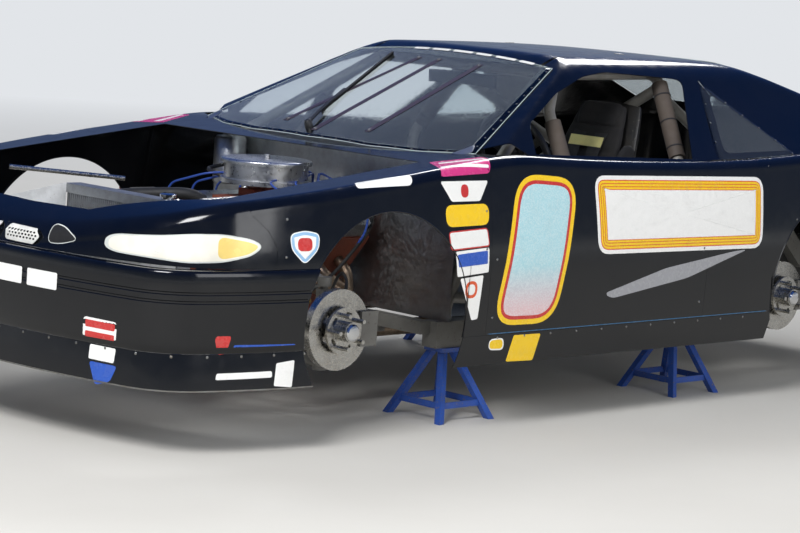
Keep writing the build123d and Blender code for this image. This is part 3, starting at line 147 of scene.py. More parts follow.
def plan(p):
    """Point of the body's plan at distance p and its inward normal there."""
    values = [np.interp(p, plan_run, column) for column in (*plan_line.T, *plan_way.T)]
    return values[0], values[1], values[3], -values[2]


def section(p):
    """Lean, shoulder radius and shoulder height of the side at distance p along the plan."""
    x, _, nx, _ = plan(p)
    height = top(x + nx * SHOULDER)
    lean = TUMBLEHOME * np.minimum(1, (height - WAIST) / LEAN_RISE)
    radius = np.minimum(SHOULDER, height - WAIST - SHOULDER_ROOM)
    return lean, radius, top(x + nx * lean) - radius


def skin(p, s, proud=0.0):
    """Point of the lower body. p runs along its plan. s is the height up the side, and then runs on round
    the shoulder's arc and inwards over the top. The side leans in by TUCK towards the skirt and by the lean
    towards the shoulder, both as powers of height."""
    p, s = np.broadcast_arrays(np.asarray(p, float), np.asarray(s, float))
    x, y, nx, ny = plan(p)
    lean, radius, low = section(p)
    below = TUCK * np.clip((WAIST - s) / (WAIST - SKIRT_BOTTOM), 0, None) ** TUCK_POWER
    above = lean * np.clip((s - WAIST) / np.maximum(low - WAIST, 1), 0, 1) ** LEAN_POWER
    angle = np.clip((s - low) / radius, 0, pi / 2)
    over = np.clip(s - low - radius * pi / 2, 0, None)
    inward = np.where(s < WAIST, below, above) + np.where(s > low, radius * (1 - np.cos(angle)) + over, 0)
    px, py = x + nx * (inward - proud * np.cos(angle)), y + ny * (inward - proud * np.cos(angle))
    height = np.where(s > low, top(px) - radius * (1 - np.sin(angle)), s) + proud * np.sin(angle)
    return np.stack([px, py, height], -1)


def joint_shift(x, s):
    """How far columns near the nose joint slide forward so that it follows its curve."""
    return np.interp(s, *JOINT_CURVE) * np.interp(x, *JOINT_FADE) ** 1.5


def place(points):
    """Millimetres in stations and running heights to metres in the frame."""
    return (np.asarray(points, float) + (FRONT, 0, LIFT)) / 1000


# The cabin as a height over the plan
SLOPE, BEND = 23.4, 2200.0                   # the windscreen's slope in degrees and its bend's radius
BASE, FOOT = -445.0, 880.0                   # station and height of its foot on the middle line
SCREEN_HEAD, ROOF_REAR, SLANT = np.array((-1170.0, 1214.0)), np.array((-2500.0, 1216.0)), 1300.0
ROOF_SOFT, SCREEN_SOFT = 26.0, 12.0          # reach of the rounding along the roof's rails and the screen
side_line = trace(chain((0, 1273), 0, [(460, 1252), (615, 1172), (905, 845)]))
roof_joints = chain(SCREEN_HEAD, 180 - SLOPE, [(-1380, 1262), (-2300, 1252), ROOF_REAR])
back_way = radians(roof_joints[-1][2])
screen_end = SCREEN_HEAD + SLANT * np.array((cos(radians(SLOPE)), -sin(radians(SLOPE))))
back_end = ROOF_REAR + SLANT * np.array((cos(back_way), sin(back_way)))
roof_line = np.concatenate([[screen_end], trace(roof_joints), [back_end]])[::-1]


def soft_min(a, b, reach):
    """The smaller of two values, rounded where they are within reach of each other."""
    mix = np.clip(0.5 + 0.5 * (b - a) / reach, 0, 1)
    return b * (1 - mix) + a * mix - reach * mix * (1 - mix)


def side_height(y):
    """Height of the cabin's cross section at a distance from the middle."""
    return np.interp(np.abs(y), side_line[:, 0], side_line[:, 1])


def side_reach(z):
    """Distance from the middle of the cabin's side at a height."""
    return np.interp(-np.asarray(z, float), -side_line[:, 1], side_line[:, 0])


def screen_height(x, y):
    """Height of the windscreen's bent sheet, which leans back at SLOPE and bends at radius BEND."""
    bow = BEND - np.sqrt(BEND**2 - np.asarray(y, float) ** 2)
    return FOOT + (BASE - bow - x) * tan(radians(SLOPE))


def cabin(x, y, proud=0.0):
    """Point of the cabin over a plan point: the least of its section, its roof line and its windscreen,
    rounded."""
    x, y = np.broadcast_arrays(np.asarray(x, float), np.asarray(y, float))
    height = soft_min(side_height(y), np.interp(x, roof_line[:, 0], roof_line[:, 1]), ROOF_SOFT)
    height = soft_min(height, screen_height(x, y), SCREEN_SOFT)
    return np.stack([x, y, height + proud], -1)


# Meshes
MIRRORED = (1, -1, 1)
MIDDLE_HEIGHT = 0.6                          # metres up, inside every panel
WELD = 1e3                                   # vertices in millimetres merge within a thousandth


def link(name, mesh, material, body="root"):
    """Puts a mesh in the scene as a piece that rides on a body."""
    made = bpy.data.objects.new(name, mesh)
    bpy.context.scene.collection.objects.link(made)
    mesh.materials.append(material)
    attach(made, body)
    return made


def grid_faces(rows, columns, first=0, around=False):
    """Quads of a rows by columns grid of vertices; around joins the last row to the first."""
    index = np.arange(rows * columns).reshape(rows, columns) + first
    if around:
        index = np.vstack([index, index[:1]])
    return np.stack([index[:-1, :-1], index[1:, :-1], index[1:, 1:], index[:-1, 1:]], -1).reshape(-1, 4)


def join_grids(grids, around=False, inside=None):
    """Vertices and faces of several grids of points. Each grid is turned so that it faces away from a point
    inside, which is MIDDLE_HEIGHT up on the car's middle line where none is given."""
    points, faces, count = [], [], 0
    for grid in grids:
        rows, columns = grid.shape[:2]
        quads = grid_faces(rows, columns, 0, around)
        flat = grid.reshape(-1, 3)
        corner = flat[quads]
        normal = np.cross(corner[:, 2] - corner[:, 0], corner[:, 3] - corner[:, 1])
        middle = corner.mean(1)
        centre = inside if inside is not None else middle.mean(0) * (1, 0, 0) + (0, 0, MIDDLE_HEIGHT)
        if (normal * (middle - centre)).sum() < 0:
            quads = quads[:, ::-1]
        points.append(flat)
        faces.append(quads + count)
        count += len(flat)
    return np.concatenate(points), np.concatenate(faces)


def new_mesh(name, points, faces, sharp=35.0):
    """Mesh from points and faces, smooth apart from edges sharper than an angle where one is given."""
    mesh = bpy.data.meshes.new(name)
    mesh.from_pydata(points.tolist(), [], faces)
    mesh.polygons.foreach_set("use_smooth", np.ones(len(mesh.polygons), bool))
    if sharp is not None:
        mesh.set_sharp_from_angle(angle=radians(sharp))
    return mesh


def weld(points, faces):
    """Merges vertices at one place and drops the corners that this doubles, so seams and poles are closed."""
    _, first, back = np.unique(np.round(points * WELD).astype(np.int64), axis=0, return_index=True,
                               return_inverse=True)
    faces = back.reshape(-1)[faces]
    kept = [tuple(dict.fromkeys(face)) for face in faces.tolist()]
    return points[first], [face for face in kept if len(face) > 2]


def merge(parts):
    """One set of points and faces from several closed ones."""
    points, faces, count = [], [], 0
    for p, f in parts:
        p, f = weld(np.asarray(p, float), np.asarray(f))
        points.append(p)
        faces += [tuple(i + count for i in face) for face in f]
        count += len(p)
    return np.concatenate(points), faces


def piece(name, parts, material, body="root", sharp=35.0, mirror=False):
    """A solid piece from closed parts in station millimetres; mirror adds their images across the middle."""
    if mirror:
        parts = parts + [(p * MIRRORED, f[:, ::-1]) for p, f in parts]
    points, faces = merge(parts)
    return link(name, new_mesh(name, place(points), faces, sharp), material, body)


def circle(radius, count=12):
    """Closed round section."""
    angle = np.arange(count) * 2 * pi / count
    return radius * np.c_[np.cos(angle), np.sin(angle)]


def box_section(wide, tall):
    """Closed rectangular section."""
    return np.array([(-wide, -tall), (wide, -tall), (wide, tall), (-wide, tall)]) / 2


def along(path, section, up=(0, 0, 1)):
    """Solid swept along a path: each section point (a, b) lies at path + a times the sideways axis + b
    times the upward one, both square to the path's direction. Its ends close on their middles."""
    path = np.asarray(path, float)
    way = directions(path)
    rise = np.asarray(up, float) - way * (way @ np.asarray(up, float))[:, None]
    rise /= np.linalg.norm(rise, axis=1)[:, None]
    aside = np.cross(way, rise)
    body = path[:, None] + aside[:, None] * section[None, :, :1] + rise[:, None] * section[None, :, 1:]
    rings = np.concatenate([np.broadcast_to(path[0], body[:1].shape), body,
                            np.broadcast_to(path[-1], body[:1].shape)])
    grid = rings.transpose(1, 0, 2)
    return grid.reshape(-1, 3), grid_faces(*grid.shape[:2], around=True)[:, ::-1]


def bent(corners, radius=30.0, count=6):
    """Path through corners, each replaced by a parabola that starts a radius before it and ends as far
    after."""
    c = np.asarray(corners, float)
    t = np.linspace(0, 1, count)[:, None]
    runs = [c[:1]]
    for before, at_corner, after in zip(c, c[1:], c[2:]):
        a, b = [v / np.linalg.norm(v) * min(radius, np.linalg.norm(v) * 0.45)
                for v in (before - at_corner, after - at_corner)]
        runs.append(at_corner + a * (1 - t) ** 2 + b * t**2)
    return np.concatenate(runs + [c[-1:]])


def rod(a, b, radius, count=12):
    """Straight round bar."""
    up = (0, 0, 1) if abs(b[2] - a[2]) < 0.9 * np.linalg.norm(np.subtract(b, a)) else (1, 0, 0)
    return along([a, b], circle(radius, count), up=up)


def turned(centre, axis, profile, count=32):
    """Solid of revolution: each profile point is (distance along the axis from the centre, radius)."""
    axis = np.asarray(axis, float) / np.linalg.norm(axis)
    first = np.cross(axis, (0.0, 0.0, 1.0) if abs(axis[2]) < 0.9 else (1.0, 0.0, 0.0))
    first /= np.linalg.norm(first)
    second = np.cross(axis, first)
    angle = (np.arange(count) * 2 * pi / count)[:, None, None]
    reach = np.array(profile, float)
    grid = (np.asarray(centre, float) + reach[None, :, :1] * axis
            + reach[None, :, 1:] * (np.cos(angle) * first + np.sin(angle) * second))
    return grid.reshape(-1, 3), grid_faces(count, len(profile), around=True)[:, ::-1]


def domes(points, ways, radius=4.0, tall=1.6):
    """Low round screw heads at points, each standing along its own direction."""
    return [turned(p, w, [(-1, 0), (-1, radius), (tall * 0.4, radius), (tall, radius * 0.6), (tall, 0)], 10)
            for p, w in zip(points, ways)]


def both_ways(points, faces):
    """The points and faces with their mirror image across the car's middle."""
    return np.concatenate([points, points * MIRRORED]), np.concatenate([faces, faces[:, ::-1] + len(points)])


def shell(name, points, faces, material, body="root", thick=3.0, edge=0.6):
    """Thin panel: the surface given a thickness inwards and a small round on its edges, both in
    millimetres."""
    made = link(name, new_mesh(name, points, faces.tolist()), material, body)
    wall = made.modifiers.new("wall", "SOLIDIFY")
    wall.thickness = thick / 1000
    wall.offset = -1
    if edge:
        rounding = made.modifiers.new("edge", "BEVEL")
        rounding.width = edge / 1000
        rounding.segments = 2
        rounding.limit_method = "ANGLE"
        rounding.angle_limit = radians(50)
        rounding.harden_normals = True
    return made


def panel(p_low, s_low, p_up, target, side=14, arc=9, over=10):
    """Grid of a body panel. Each column climbs the side from (p_low, s_low) to the shoulder at p_up,
    follows its arc and then runs level over the plan to its target point."""
    _, radius, low = section(p_up)
    start = np.minimum(s_low, low - 5)       # a column starts 5 mm under its shoulder at the latest
    up = np.linspace(0, 1, side)
    turn = np.linspace(0, 1, arc)[1:]
    s = np.concatenate([start[:, None] + (low - start)[:, None] * up,
                        low[:, None] + (radius * pi / 2)[:, None] * turn], 1)
    share = (s - start[:, None]) / (s[:, -1:] - start[:, None])
    p = p_low[:, None] + (p_up - p_low)[:, None] * share
    x_here = np.interp(p, plan_run, plan_line[:, 0])
    p = p + np.where(s >= CREASE, joint_shift(x_here, s), 0)
    climb = skin(p, s)
    begin = climb[:, -1, :2]
    across = np.linspace(0, 1, over)[1:]
    plan_points = begin[:, None] + (target - begin)[:, None] * across[None, :, None]
    level = np.concatenate([plan_points, top(plan_points[..., 0])[..., None]], -1)
    return place(np.concatenate([climb, level], 1))


# Colours and finishes
def linear(hex_colour):
    """Linear colour of an sRGB hex value."""
    values = [int(hex_colour[i:i + 2], 16) / 255 for i in (1, 3, 5)]
    return tuple(v / 12.92 if v <= 0.04045 else ((v + 0.055) / 1.055) ** 2.4 for v in values) + (1.0,)


def add_node(tree, kind, inputs=(), **settings):
    """Adds a node, sets it, and gives its inputs values or links them to sockets."""
    made = tree.nodes.new(kind)
    for name, value in settings.items():
        setattr(made, name, value)
    for key, value in dict(inputs).items():
        if isinstance(value, bpy.types.NodeSocket):
            tree.links.new(value, made.inputs[key])
        else:
            made.inputs[key].default_value = value
    return made


def new_material(name):
    """An empty material with its node tree and the coordinates of the object that wears it."""
    material = bpy.data.materials.new(name)
    material.use_nodes = True
    tree = material.node_tree
    tree.nodes.clear()
    return material, tree, add_node(tree, "ShaderNodeTexCoord").outputs["Object"]


def uneven(tree, where, size, detail, rough=0.5, levels=(0, 1), shares=(0, 1)):
    """Share that wanders over the surface: noise whose features are about size millimetres across, whose
    levels map to two shares and are held there past them."""
    noise = add_node(tree, "ShaderNodeTexNoise", {"Vector": where, "Scale": 1000 / size, "Detail": detail,
                                                  "Roughness": rough})
    return add_node(tree, "ShaderNodeMapRange", {0: noise.outputs[0], 1: levels[0], 2: levels[1],
                                                 3: shares[0], 4: shares[1]}).outputs[0]


def finish(tree, colour, rough, stain=None, stained=0.0, metal=0.0, height=None, depth=0.0, strength=1.0,
           **extra):
    """Closes a material: the shader with its colour, gone over by a share of a stain, and its roughness,
    raised by a height between 0 and 1 to a depth in millimetres."""
    if stain is not None:
        colour = add_node(tree, "ShaderNodeMix", {0: stained, 6: colour, 7: stain},
                          data_type="RGBA").outputs[2]
    inputs = {"Base Color": colour, "Roughness": rough, "Metallic": metal, **extra}
    if height is not None:
        inputs["Normal"] = add_node(tree, "ShaderNodeBump", {"Height": height, "Distance": depth / 1000,
                                                             "Strength": strength}).outputs[0]
    shader = add_node(tree, "ShaderNodeBsdfPrincipled", inputs)
    add_node(tree, "ShaderNodeOutputMaterial", {"Surface": shader.outputs[0]})
    return shader


def enamel(name, colour, rough=0.12, dust=0.012, dust_colour="#8a8478"):
    """Gloss acrylic enamel: a deep colour under a clear sheen, with faint orange peel of 9 mm and a film of
    road dust that takes the edge off its reflections."""
    material, tree, where = new_material(name)
    film = uneven(tree, where, 420, 5, 0.62, (0.4, 0.8), (0.0, dust))
    sheen = uneven(tree, where, 60, 4, levels=(0.3, 0.75), shares=(rough * 0.8, rough * 1.9))
    finish(tree, linear(colour), sheen, linear(dust_colour), film,
           height=uneven(tree, where, 9, 1), depth=0.06, strength=0.35,
           **{"Coat Weight": 0.12, "Coat Roughness": 0.05, "IOR": 1.42})
    return material


def worn_paint(name, colour, under, rough=0.4, chips=0.35, size=14.0):
    """Chassis paint: sprayed on steel, satin, chipped to the metal or primer in small flakes and grimed in
    broad patches."""
    material, tree, where = new_material(name)
    grime = uneven(tree, where, 90, 6, 0.65, (0.35, 0.7), (0.0, 0.35))
    flake_level = 0.66 - 0.08 * chips
    flakes = uneven(tree, where, size, 8, 0.7, (flake_level, flake_level + 0.02))
    grimed = add_node(tree, "ShaderNodeMix", {0: grime, 6: linear(colour), 7: linear("#3b362f")},
                      data_type="RGBA").outputs[2]
    rougher = add_node(tree, "ShaderNodeMapRange", {0: flakes, 3: rough, 4: rough + 0.2}).outputs[0]
    finish(tree, grimed, rougher, linear(under), flakes, height=flakes, depth=-0.08, strength=0.6)
    return material


def machined(name, colour, rough=0.28, stain="#5b4a3c", stained=0.25):
    """Turned and ground steel: bright metal with tool marks, drawn at 1.5 mm so that they show, under a
    film of oil and brownish heat stain."""
    material, tree, where = new_material(name)
    film = uneven(tree, where, 35, 6, 0.6, (0.4, 0.75), (0.0, stained))
    sheen = uneven(tree, where, 12, 4, levels=(0.3, 0.7), shares=(rough * 0.8, rough * 1.5))
    finish(tree, linear(colour), sheen, linear(stain), film, metal=1.0,
           height=uneven(tree, where, 1.5, 2), depth=0.03, strength=0.4)
    return material


def moulded(name, colour, rough=0.5, size=1.2, depth=0.05):
    """Moulded or rolled stock: an even colour with a fine surface grain and slightly uneven sheen."""
    material, tree, where = new_material(name)
    handled = uneven(tree, where, 120, 5, levels=(0.45, 0.8), shares=(0.0, 0.3))
    sheen = uneven(tree, where, 40, 5, levels=(0.3, 0.7), shares=(rough * 0.85, rough * 1.2))
    finish(tree, linear(colour), sheen, linear("#2c2a27"), handled,
           height=uneven(tree, where, size, 2), depth=depth, strength=0.5)
    return material


def clear_sheet(name, colour="#dfe8ea"):
    """Polycarbonate: clear, faintly grey, with hairline scuffs that soften its reflection."""
    material, tree, where = new_material(name)
    finish(tree, linear(colour), uneven(tree, where, 18, 8, 0.7, (0.45, 0.8), (0.02, 0.12)),
           **{"Transmission Weight": 1.0, "IOR": 1.45})
    return material


def woven(name, colour, rough=0.85, thread=2.2):
    """Woven seat cloth: crossed threads drawn at 2 mm so that they show, a soft sheen and a dusty bloom."""
    material, tree, where = new_material(name)
    waves_a_metre = 1000 / thread / 6.3      # a wave pattern repeats each 2 pi over its scale
    thread_inputs = {"Vector": where, "Scale": waves_a_metre, "Distortion": 0.6}
    warp, weft = [add_node(tree, "ShaderNodeTexWave", thread_inputs, bands_direction=way).outputs[1]
                  for way in "XZ"]
    cloth = add_node(tree, "ShaderNodeMath", {0: warp, 1: weft}, operation="MAXIMUM").outputs[0]
    bloom = uneven(tree, where, 70, 5, levels=(0.4, 0.8), shares=(0.0, 0.3))
    finish(tree, linear(colour), rough, linear("#2e2924"), bloom, height=cloth, depth=0.3, strength=0.5, **{
        "Sheen Weight": 0.08, "Sheen Roughness": 0.5})
    return material


def film_colour(name, colour, low_colour=None, heights=None):
    """Cut vinyl: an even colour with a soft gloss and faint scuffs. With a second colour it shades from one
    to the other between two heights in metres, as a glittering print does."""
    material, tree, where = new_material(name)
    shade = linear(colour)
    if low_colour:
        height = add_node(tree, "ShaderNodeSeparateXYZ", {"Vector": where}).outputs["Z"]
        share = add_node(tree, "ShaderNodeMapRange", {0: height, 1: heights[0], 2: heights[1]}).outputs[0]
        flakes = uneven(tree, where, 6, 2, levels=(0.45, 0.6), shares=(0.0, 0.35))
        for second, first, part in ((shade, linear(low_colour), share), (linear("#e9f2f2"), None, flakes)):
            shade = add_node(tree, "ShaderNodeMix", {0: part, 6: first or shade, 7: second},
                             data_type="RGBA").outputs[2]
    scuff = uneven(tree, where, 30, 6, 0.65, (0.5, 0.85), (0.0, 0.22))
    rougher = add_node(tree, "ShaderNodeMapRange", {0: scuff, 2: 0.2, 3: 0.25, 4: 0.45}).outputs[0]
    finish(tree, shade, rougher, linear("#77726a"), scuff)
    return material


def make_finishes():
    """All materials of the car by their plain names. Painted metal is named with its colour, what shows
    through, its roughness, how chipped it is and the size of a flake; turned metal with its colour,
    roughness, stain and how stained it is; moulded stock with its colour, roughness and the size and depth
    of its grain."""
    return {
        "body": enamel("black_enamel", hex_of(choice("body_colour")), dust=choice("dust")),
        # Painted reflection: this navy colour stands for the blue sky mirrored on the nose's top over the
        # black paint. It is not a colour of the car's own paint.
        "nose_sky_reflection_band": enamel("navy_enamel", "#18225c", 0.2, 0.06),
        "cage": worn_paint("grey_cage_enamel", "#8d8a84", "#5a5148", 0.32, 0.2),
        "frame": worn_paint("grey_chassis_enamel", "#6f6e6a", "#4a4038", 0.45, 0.5),
        "stand": worn_paint("blue_stand_enamel", hex_of(choice("stand_colour")), "#7d6a58", 0.42, 0.8, 9.0),
        "sheet": machined("rolled_aluminium", "#a9abad", 0.36, "#6b645c", 0.35),
        "steel": machined("turned_steel", "#b4b2ac", 0.24),
        "iron": worn_paint("painted_cast_iron", "#8a4630", "#4a4540", 0.5, 0.6),
        "cover": machined("cast_aluminium", "#c3c4c4", 0.3, "#6f675c", 0.2),
        "pipe": machined("heated_steel_tube", "#9a8a78", 0.4, "#5c3f2c", 0.7),
        "white": worn_paint("white_sheet_enamel", "#e8eaec", "#9a958c", 0.38, 0.15),
        "grille": worn_paint("white_grille_enamel", "#e6e6e3", "#8b867c", 0.4, 0.1),
        "lamp": moulded("lamp_film", "#f3efe2", 0.22, 3.0, 0.02),
        "rubber": moulded("black_rubber", "#161616", 0.7),
        "plastic": moulded("black_plastic", "#1a1b1d", 0.45),
        "seat": woven("black_seat_cloth", "#0f0e0f"),
        "can": worn_paint("black_can_enamel", "#1d1e20", "#6a6660", 0.4, 0.3),
        "glass": clear_sheet("clear_polycarbonate"),
        "sheet_edge": moulded("cut_polycarbonate_edge", "#b9c6c9", 0.5, 2.0, 0.02),
        "zinc": machined("zinc_plated_steel", "#8f8f8a", 0.38, "#5f4a30", 0.5),
        "lamp_rim": moulded("lamp_rim_film", "#cfd3cf", 0.35, 3.0, 0.02),
        "lamp_amber": moulded("amber_lamp_film", "#efd27a", 0.25, 3.0, 0.02),
        "white_film": film_colour("white_vinyl", "#eeeeec"),
        "yellow_film": film_colour("yellow_vinyl", "#f2c81e"),
        "orange_film": film_colour("orange_vinyl", "#d8562c"),
        "red_film": film_colour("red_vinyl", "#c23432"),
        "magenta_film": film_colour("magenta_vinyl", "#c8397c"),
        "blue_film": film_colour("blue_vinyl", "#2a55b4"),
        "pale_blue_film": film_colour("pale_blue_vinyl", "#8fb8dc"),
        "pin_film": film_colour("pinstripe_vinyl", "#2c5f86"),
        "silver_film": film_colour("silver_vinyl", "#9a9ba0"),
        "spring": worn_paint("yellow_spring_enamel", "#b08a1c", "#3a352f", 0.35, 0.3),
        "padding": moulded("brown_grey_tube_padding", "#4f463f", 0.75, 6.0, 0.3),
        "label": moulded("pale_yellow_label", "#d8d08e", 0.5, 3.0, 0.02),
        "strap": moulded("brown_screen_strap", "#3f3540", 0.4, 3.0, 0.03),
        "wire": moulded("blue_plug_wire", "#27489a", 0.5, 3.0, 0.02),
        "hose": moulded("black_hose", "#191919", 0.6, 3.0, 0.06),
        "belt": moulded("black_harness_webbing", "#202024", 0.8, 2.0, 0.15),
        "chrome": machined("polished_steel", "#c9cacb", 0.12, "#8a857c", 0.1),
        "dial": moulded("white_dial", "#dcdcd6", 0.4, 3.0, 0.02),
        "red_lamp": moulded("red_lamp_lens", "#9c1212", 0.12, 4.0, 0.03),
        "amber_lamp": moulded("amber_lamp_lens", "#d07a18", 0.12, 4.0, 0.03),
        "number_fill": film_colour("holographic_vinyl", "#a9d3dc", "#dcb8bc", (0.45, 0.62)),
    }


def choice(name):
    """A value of the add-on's settings."""
    return getattr(bpy.context.scene.stock_car, name)


def hex_of(colour):
    """sRGB hex value of a colour property."""
    return "#" + "".join(f"{round(255 * min(1.0, max(0.0, c))):02x}" for c in colour[:3])


finishes = {}
NODE_FINISH = {
    "frame": "frame", "roll_cage": "cage", "floor_pan": "sheet", "bulkheads": "sheet", "dash": "plastic",
    "engine": "iron", "valve_covers": "cover", "air_cleaner": "cover", "exhaust": "pipe", "gearbox": "sheet",
    "driveshaft": "steel", "radiator": "sheet", "air_duct": "white", "rear_axle": "frame",
    "suspension_arms": "frame", "springs": "frame", "steering_column": "steel", "steering_rack": "steel",
    "steering_wheel": "plastic", "seat": "seat", "fuel_cell": "can", "axle_stands": "stand",
    "hub_front_left": "steel", "hub_front_right": "steel", "hub_rear_left": "steel", "hub_rear_right": "steel",
    "knuckle_left": "frame", "knuckle_right": "frame", "windscreen": "glass", "rear_windows": "glass",
    "headlights": "lamp", "grille_mesh": "grille",
}


def dress_nodes():
    """Gives every frame node that stays its finish."""
    for name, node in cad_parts.items():
        node.data.materials.clear()
        node.data.materials.append(finishes[NODE_FINISH.get(name, "body")])


# Body panels, in millimetres: stations, heights and distances from the middle
FRONT_ARCH = (-12.0, 305.0, 405.0)           # station, height and radius
REAR_ARCH = (-2667.0, 300.0, 390.0)
DOOR_FRONT, DOOR_REAR, NOSE_JOINT, QUARTER_REAR = -530.0, -1825.0, 500.0, -3600.0
FENDER_FOOT, FENDER_EDGE = -410.7, 332.5     # where the skirt's seam and the crease meet the front arch
QUARTER_FOOT, HEEL, TAIL_LOW = -2282.6, (-3045.0, 186.0), 200.0    # the quarter's corners round the rear arch
SKIRT_REAR, SKIRT_RAKE = -2262.0, 40 / 114   # the skirt's rear end and its slope
BAY_FRONT, BAY_SIDE, BAY_DOOR = 610.0, 735.0, -800.0               # the engine bay's opening
NOSE_RIM = np.array([(BAY_FRONT, BAY_SIDE), (640, 705), (830, 360), (858, 310), (868, 0)])
DECK_FRONT, DECK_REAR, DECK_SIDE, LID_GAP = -3460.0, -3775.0, 600.0, 5.0
TAIL_BOTTOM, WRAP_REAR = 190.0, 330.0        # the tail cover's lower edge, the bumper's rear end
BUMPER_STEPS = [(232.4, 9), (238, 5), (260, 2.5), (300, 1.2), (398, 0), (404, 0), (407, 3), (413, 3), (416, 0),
                (434, 0), (437, 3), (443, 3), (446, 0), (470, 0), (498, 1), (509, 3), (515, 6.5), (517.6, 12),
                (517.8, 30), (517.8, 52)]    # height, inset
DAM_STEPS = [(104, 10), (104, 0), (112, 0.6), (160, 4.5), (200, 8.5), (226, 11.4), (231.6, 12)]
LINE_SHARE = 0.45                            # how far columns over an arch keep to even steps along its edge


def arch(wheel, z_start, z_end, count):
    """Points (station, height) over a wheel arch from its rear edge at one height to its front edge at
    another."""
    x, z, r = wheel
    angle = np.linspace(pi - asin((z_start - z) / r), asin((z_end - z) / r), count)
    return np.c_[x + r * np.cos(angle), z + r * np.sin(angle)]


def half_chord(wheel, z):
    """How far a wheel arch reaches to each side of its station at a height."""
    return np.sqrt(np.maximum(wheel[2] ** 2 - (z - wheel[1]) ** 2, 0))


def low_line(*runs):
    """Joins runs of (station, height) points into one line without repeats."""
    line = np.concatenate(runs)
    return line[np.r_[True, lengths(line)[1:] - lengths(line)[:-1] > 1e-6]]


def shoulder_stations(low, rear, front):
    """Stations at the shoulder, between two ends, for columns that start on a low line: the share of the
    way mixes the share along the line with the share of its stations."""
    run = lengths(low)
    share = (low[:, 0] - low[0, 0]) / (low[-1, 0] - low[0, 0])
    return rear + (front - rear) * (LINE_SHARE * run / run[-1] + (1 - LINE_SHARE) * share)


def cabin_edge(x):
    """Where the cabin's side or windscreen meets the body's top, as a distance from the middle."""
    reach = np.linspace(0, 895, 1200)
    inside = cabin(np.asarray(x, float)[:, None], reach[None])[..., 2] > top(x)[:, None]
    last = np.where(inside.any(1), inside.shape[1] - 1 - inside[:, ::-1].argmax(1), 0)
    return reach[last]


def fender_grid():
    """The front fender from the door to the nose panel, over the arch, in to the bay's opening."""
    seam, crease = SKIRT_SEAM + half_seam, CREASE + half_seam
    rear, front = DOOR_FRONT + half_seam, NOSE_JOINT - half_seam
    low = low_line(np.linspace((rear, seam), (FENDER_FOOT, seam), 10), arch(FRONT_ARCH, seam, crease, 70),
                   np.linspace((FENDER_EDGE, crease), (front, crease), 14))
    x_up = shoulder_stations(low, rear, front)
    x_top = np.interp(x_up, [DOOR_FRONT, 0, front], [DOOR_FRONT, 0, BAY_FRONT - SEAM])
    edge = np.maximum(BAY_SIDE, cabin_edge(x_top) + SEAM)
    return panel(run_at(low[:, 0]), low[:, 1], run_at(x_up), np.c_[x_top, edge], side=22)


def door_grid():
    """The door's skin from the skirt to the belt."""
    x = np.linspace(DOOR_REAR + half_seam, DOOR_FRONT - half_seam, 90)
    edge = cabin_edge(x) + SEAM
    edge = np.where(x > BAY_DOOR, np.maximum(BAY_SIDE + SEAM, edge), edge)
    return panel(run_at(x), np.full_like(x, SKIRT_SEAM + half_seam), run_at(x), np.c_[x, edge])


def quarter_grids():
    """The quarter panel's side over the rear arch, and the deck ahead of the lid."""
    seam = SKIRT_SEAM + half_seam
    rear, front = QUARTER_REAR + half_seam, DOOR_REAR - half_seam
    low = low_line(np.linspace((rear, TAIL_LOW), HEEL, 18), arch(REAR_ARCH, HEEL[1], seam, 70),
                   np.linspace((QUARTER_FOOT, seam), (front, seam), 18))
    x_up = shoulder_stations(low, rear, front)
    edge = np.maximum(cabin_edge(x_up) + SEAM, DECK_SIDE)
    side = panel(run_at(low[:, 0]), low[:, 1], run_at(x_up), np.c_[x_up, edge], side=22)
    y = np.linspace(0, DECK_SIDE, 40)
    x = DECK_FRONT + (deck_foot(y) - SEAM - DECK_FRONT)[:, None] * np.linspace(0, 1, 12)
    deck = np.stack([x, np.broadcast_to(y[:, None], x.shape), top(x)], -1)
    return [side, place(deck)]


def end_grid(run, low, rim, side):
    """A panel round one end of the body: its columns stand along the plan and run in to the same share of a
    rim."""
    share = (run - run[0]) / (run[-1] - run[0])
    rim_run = lengths(rim)
    return panel(run, np.full_like(run, low), run, follow(rim, rim_run, share * rim_run[-1]), side=side)


def bumper_grid(steps):
    """Full-width wrap through steps of (height, inset), cut at the rear along the wheel arch."""
    columns = []
    for z, depth in steps:
        reach = max(WRAP_REAR, FRONT_ARCH[0] + half_chord(FRONT_ARCH, z))
        start = np.interp(reach, bumper_line[:, 0], bumper_run)
        r = start + (bumper_run[-1] - start) * np.linspace(0, 1, 90)
        x, y, tx, ty = [np.interp(r, bumper_run, c) for c in (*bumper_line.T, *bumper_way.T)]
        left = np.stack([x + ty * depth, y - tx * depth, np.full_like(x, z)], -1)
        columns.append(np.concatenate([left, left[-2::-1] * MIRRORED]))
    return place(np.stack(columns, 1))


def skirt_grid():
    """The skirt between the arches, raked at its rear end."""
    z = np.linspace(SKIRT_BOTTOM, SKIRT_SEAM - half_seam, 8)
    fore = FRONT_ARCH[0] - half_chord(FRONT_ARCH, z)
    aft = np.maximum(SKIRT_REAR - (z - SKIRT_BOTTOM) * SKIRT_RAKE, REAR_ARCH[0] + half_chord(REAR_ARCH, z))
    x = aft + (fore - aft) * np.linspace(0, 1, 100)[:, None]
    return place(skin(run_at(x), np.broadcast_to(z, x.shape)))


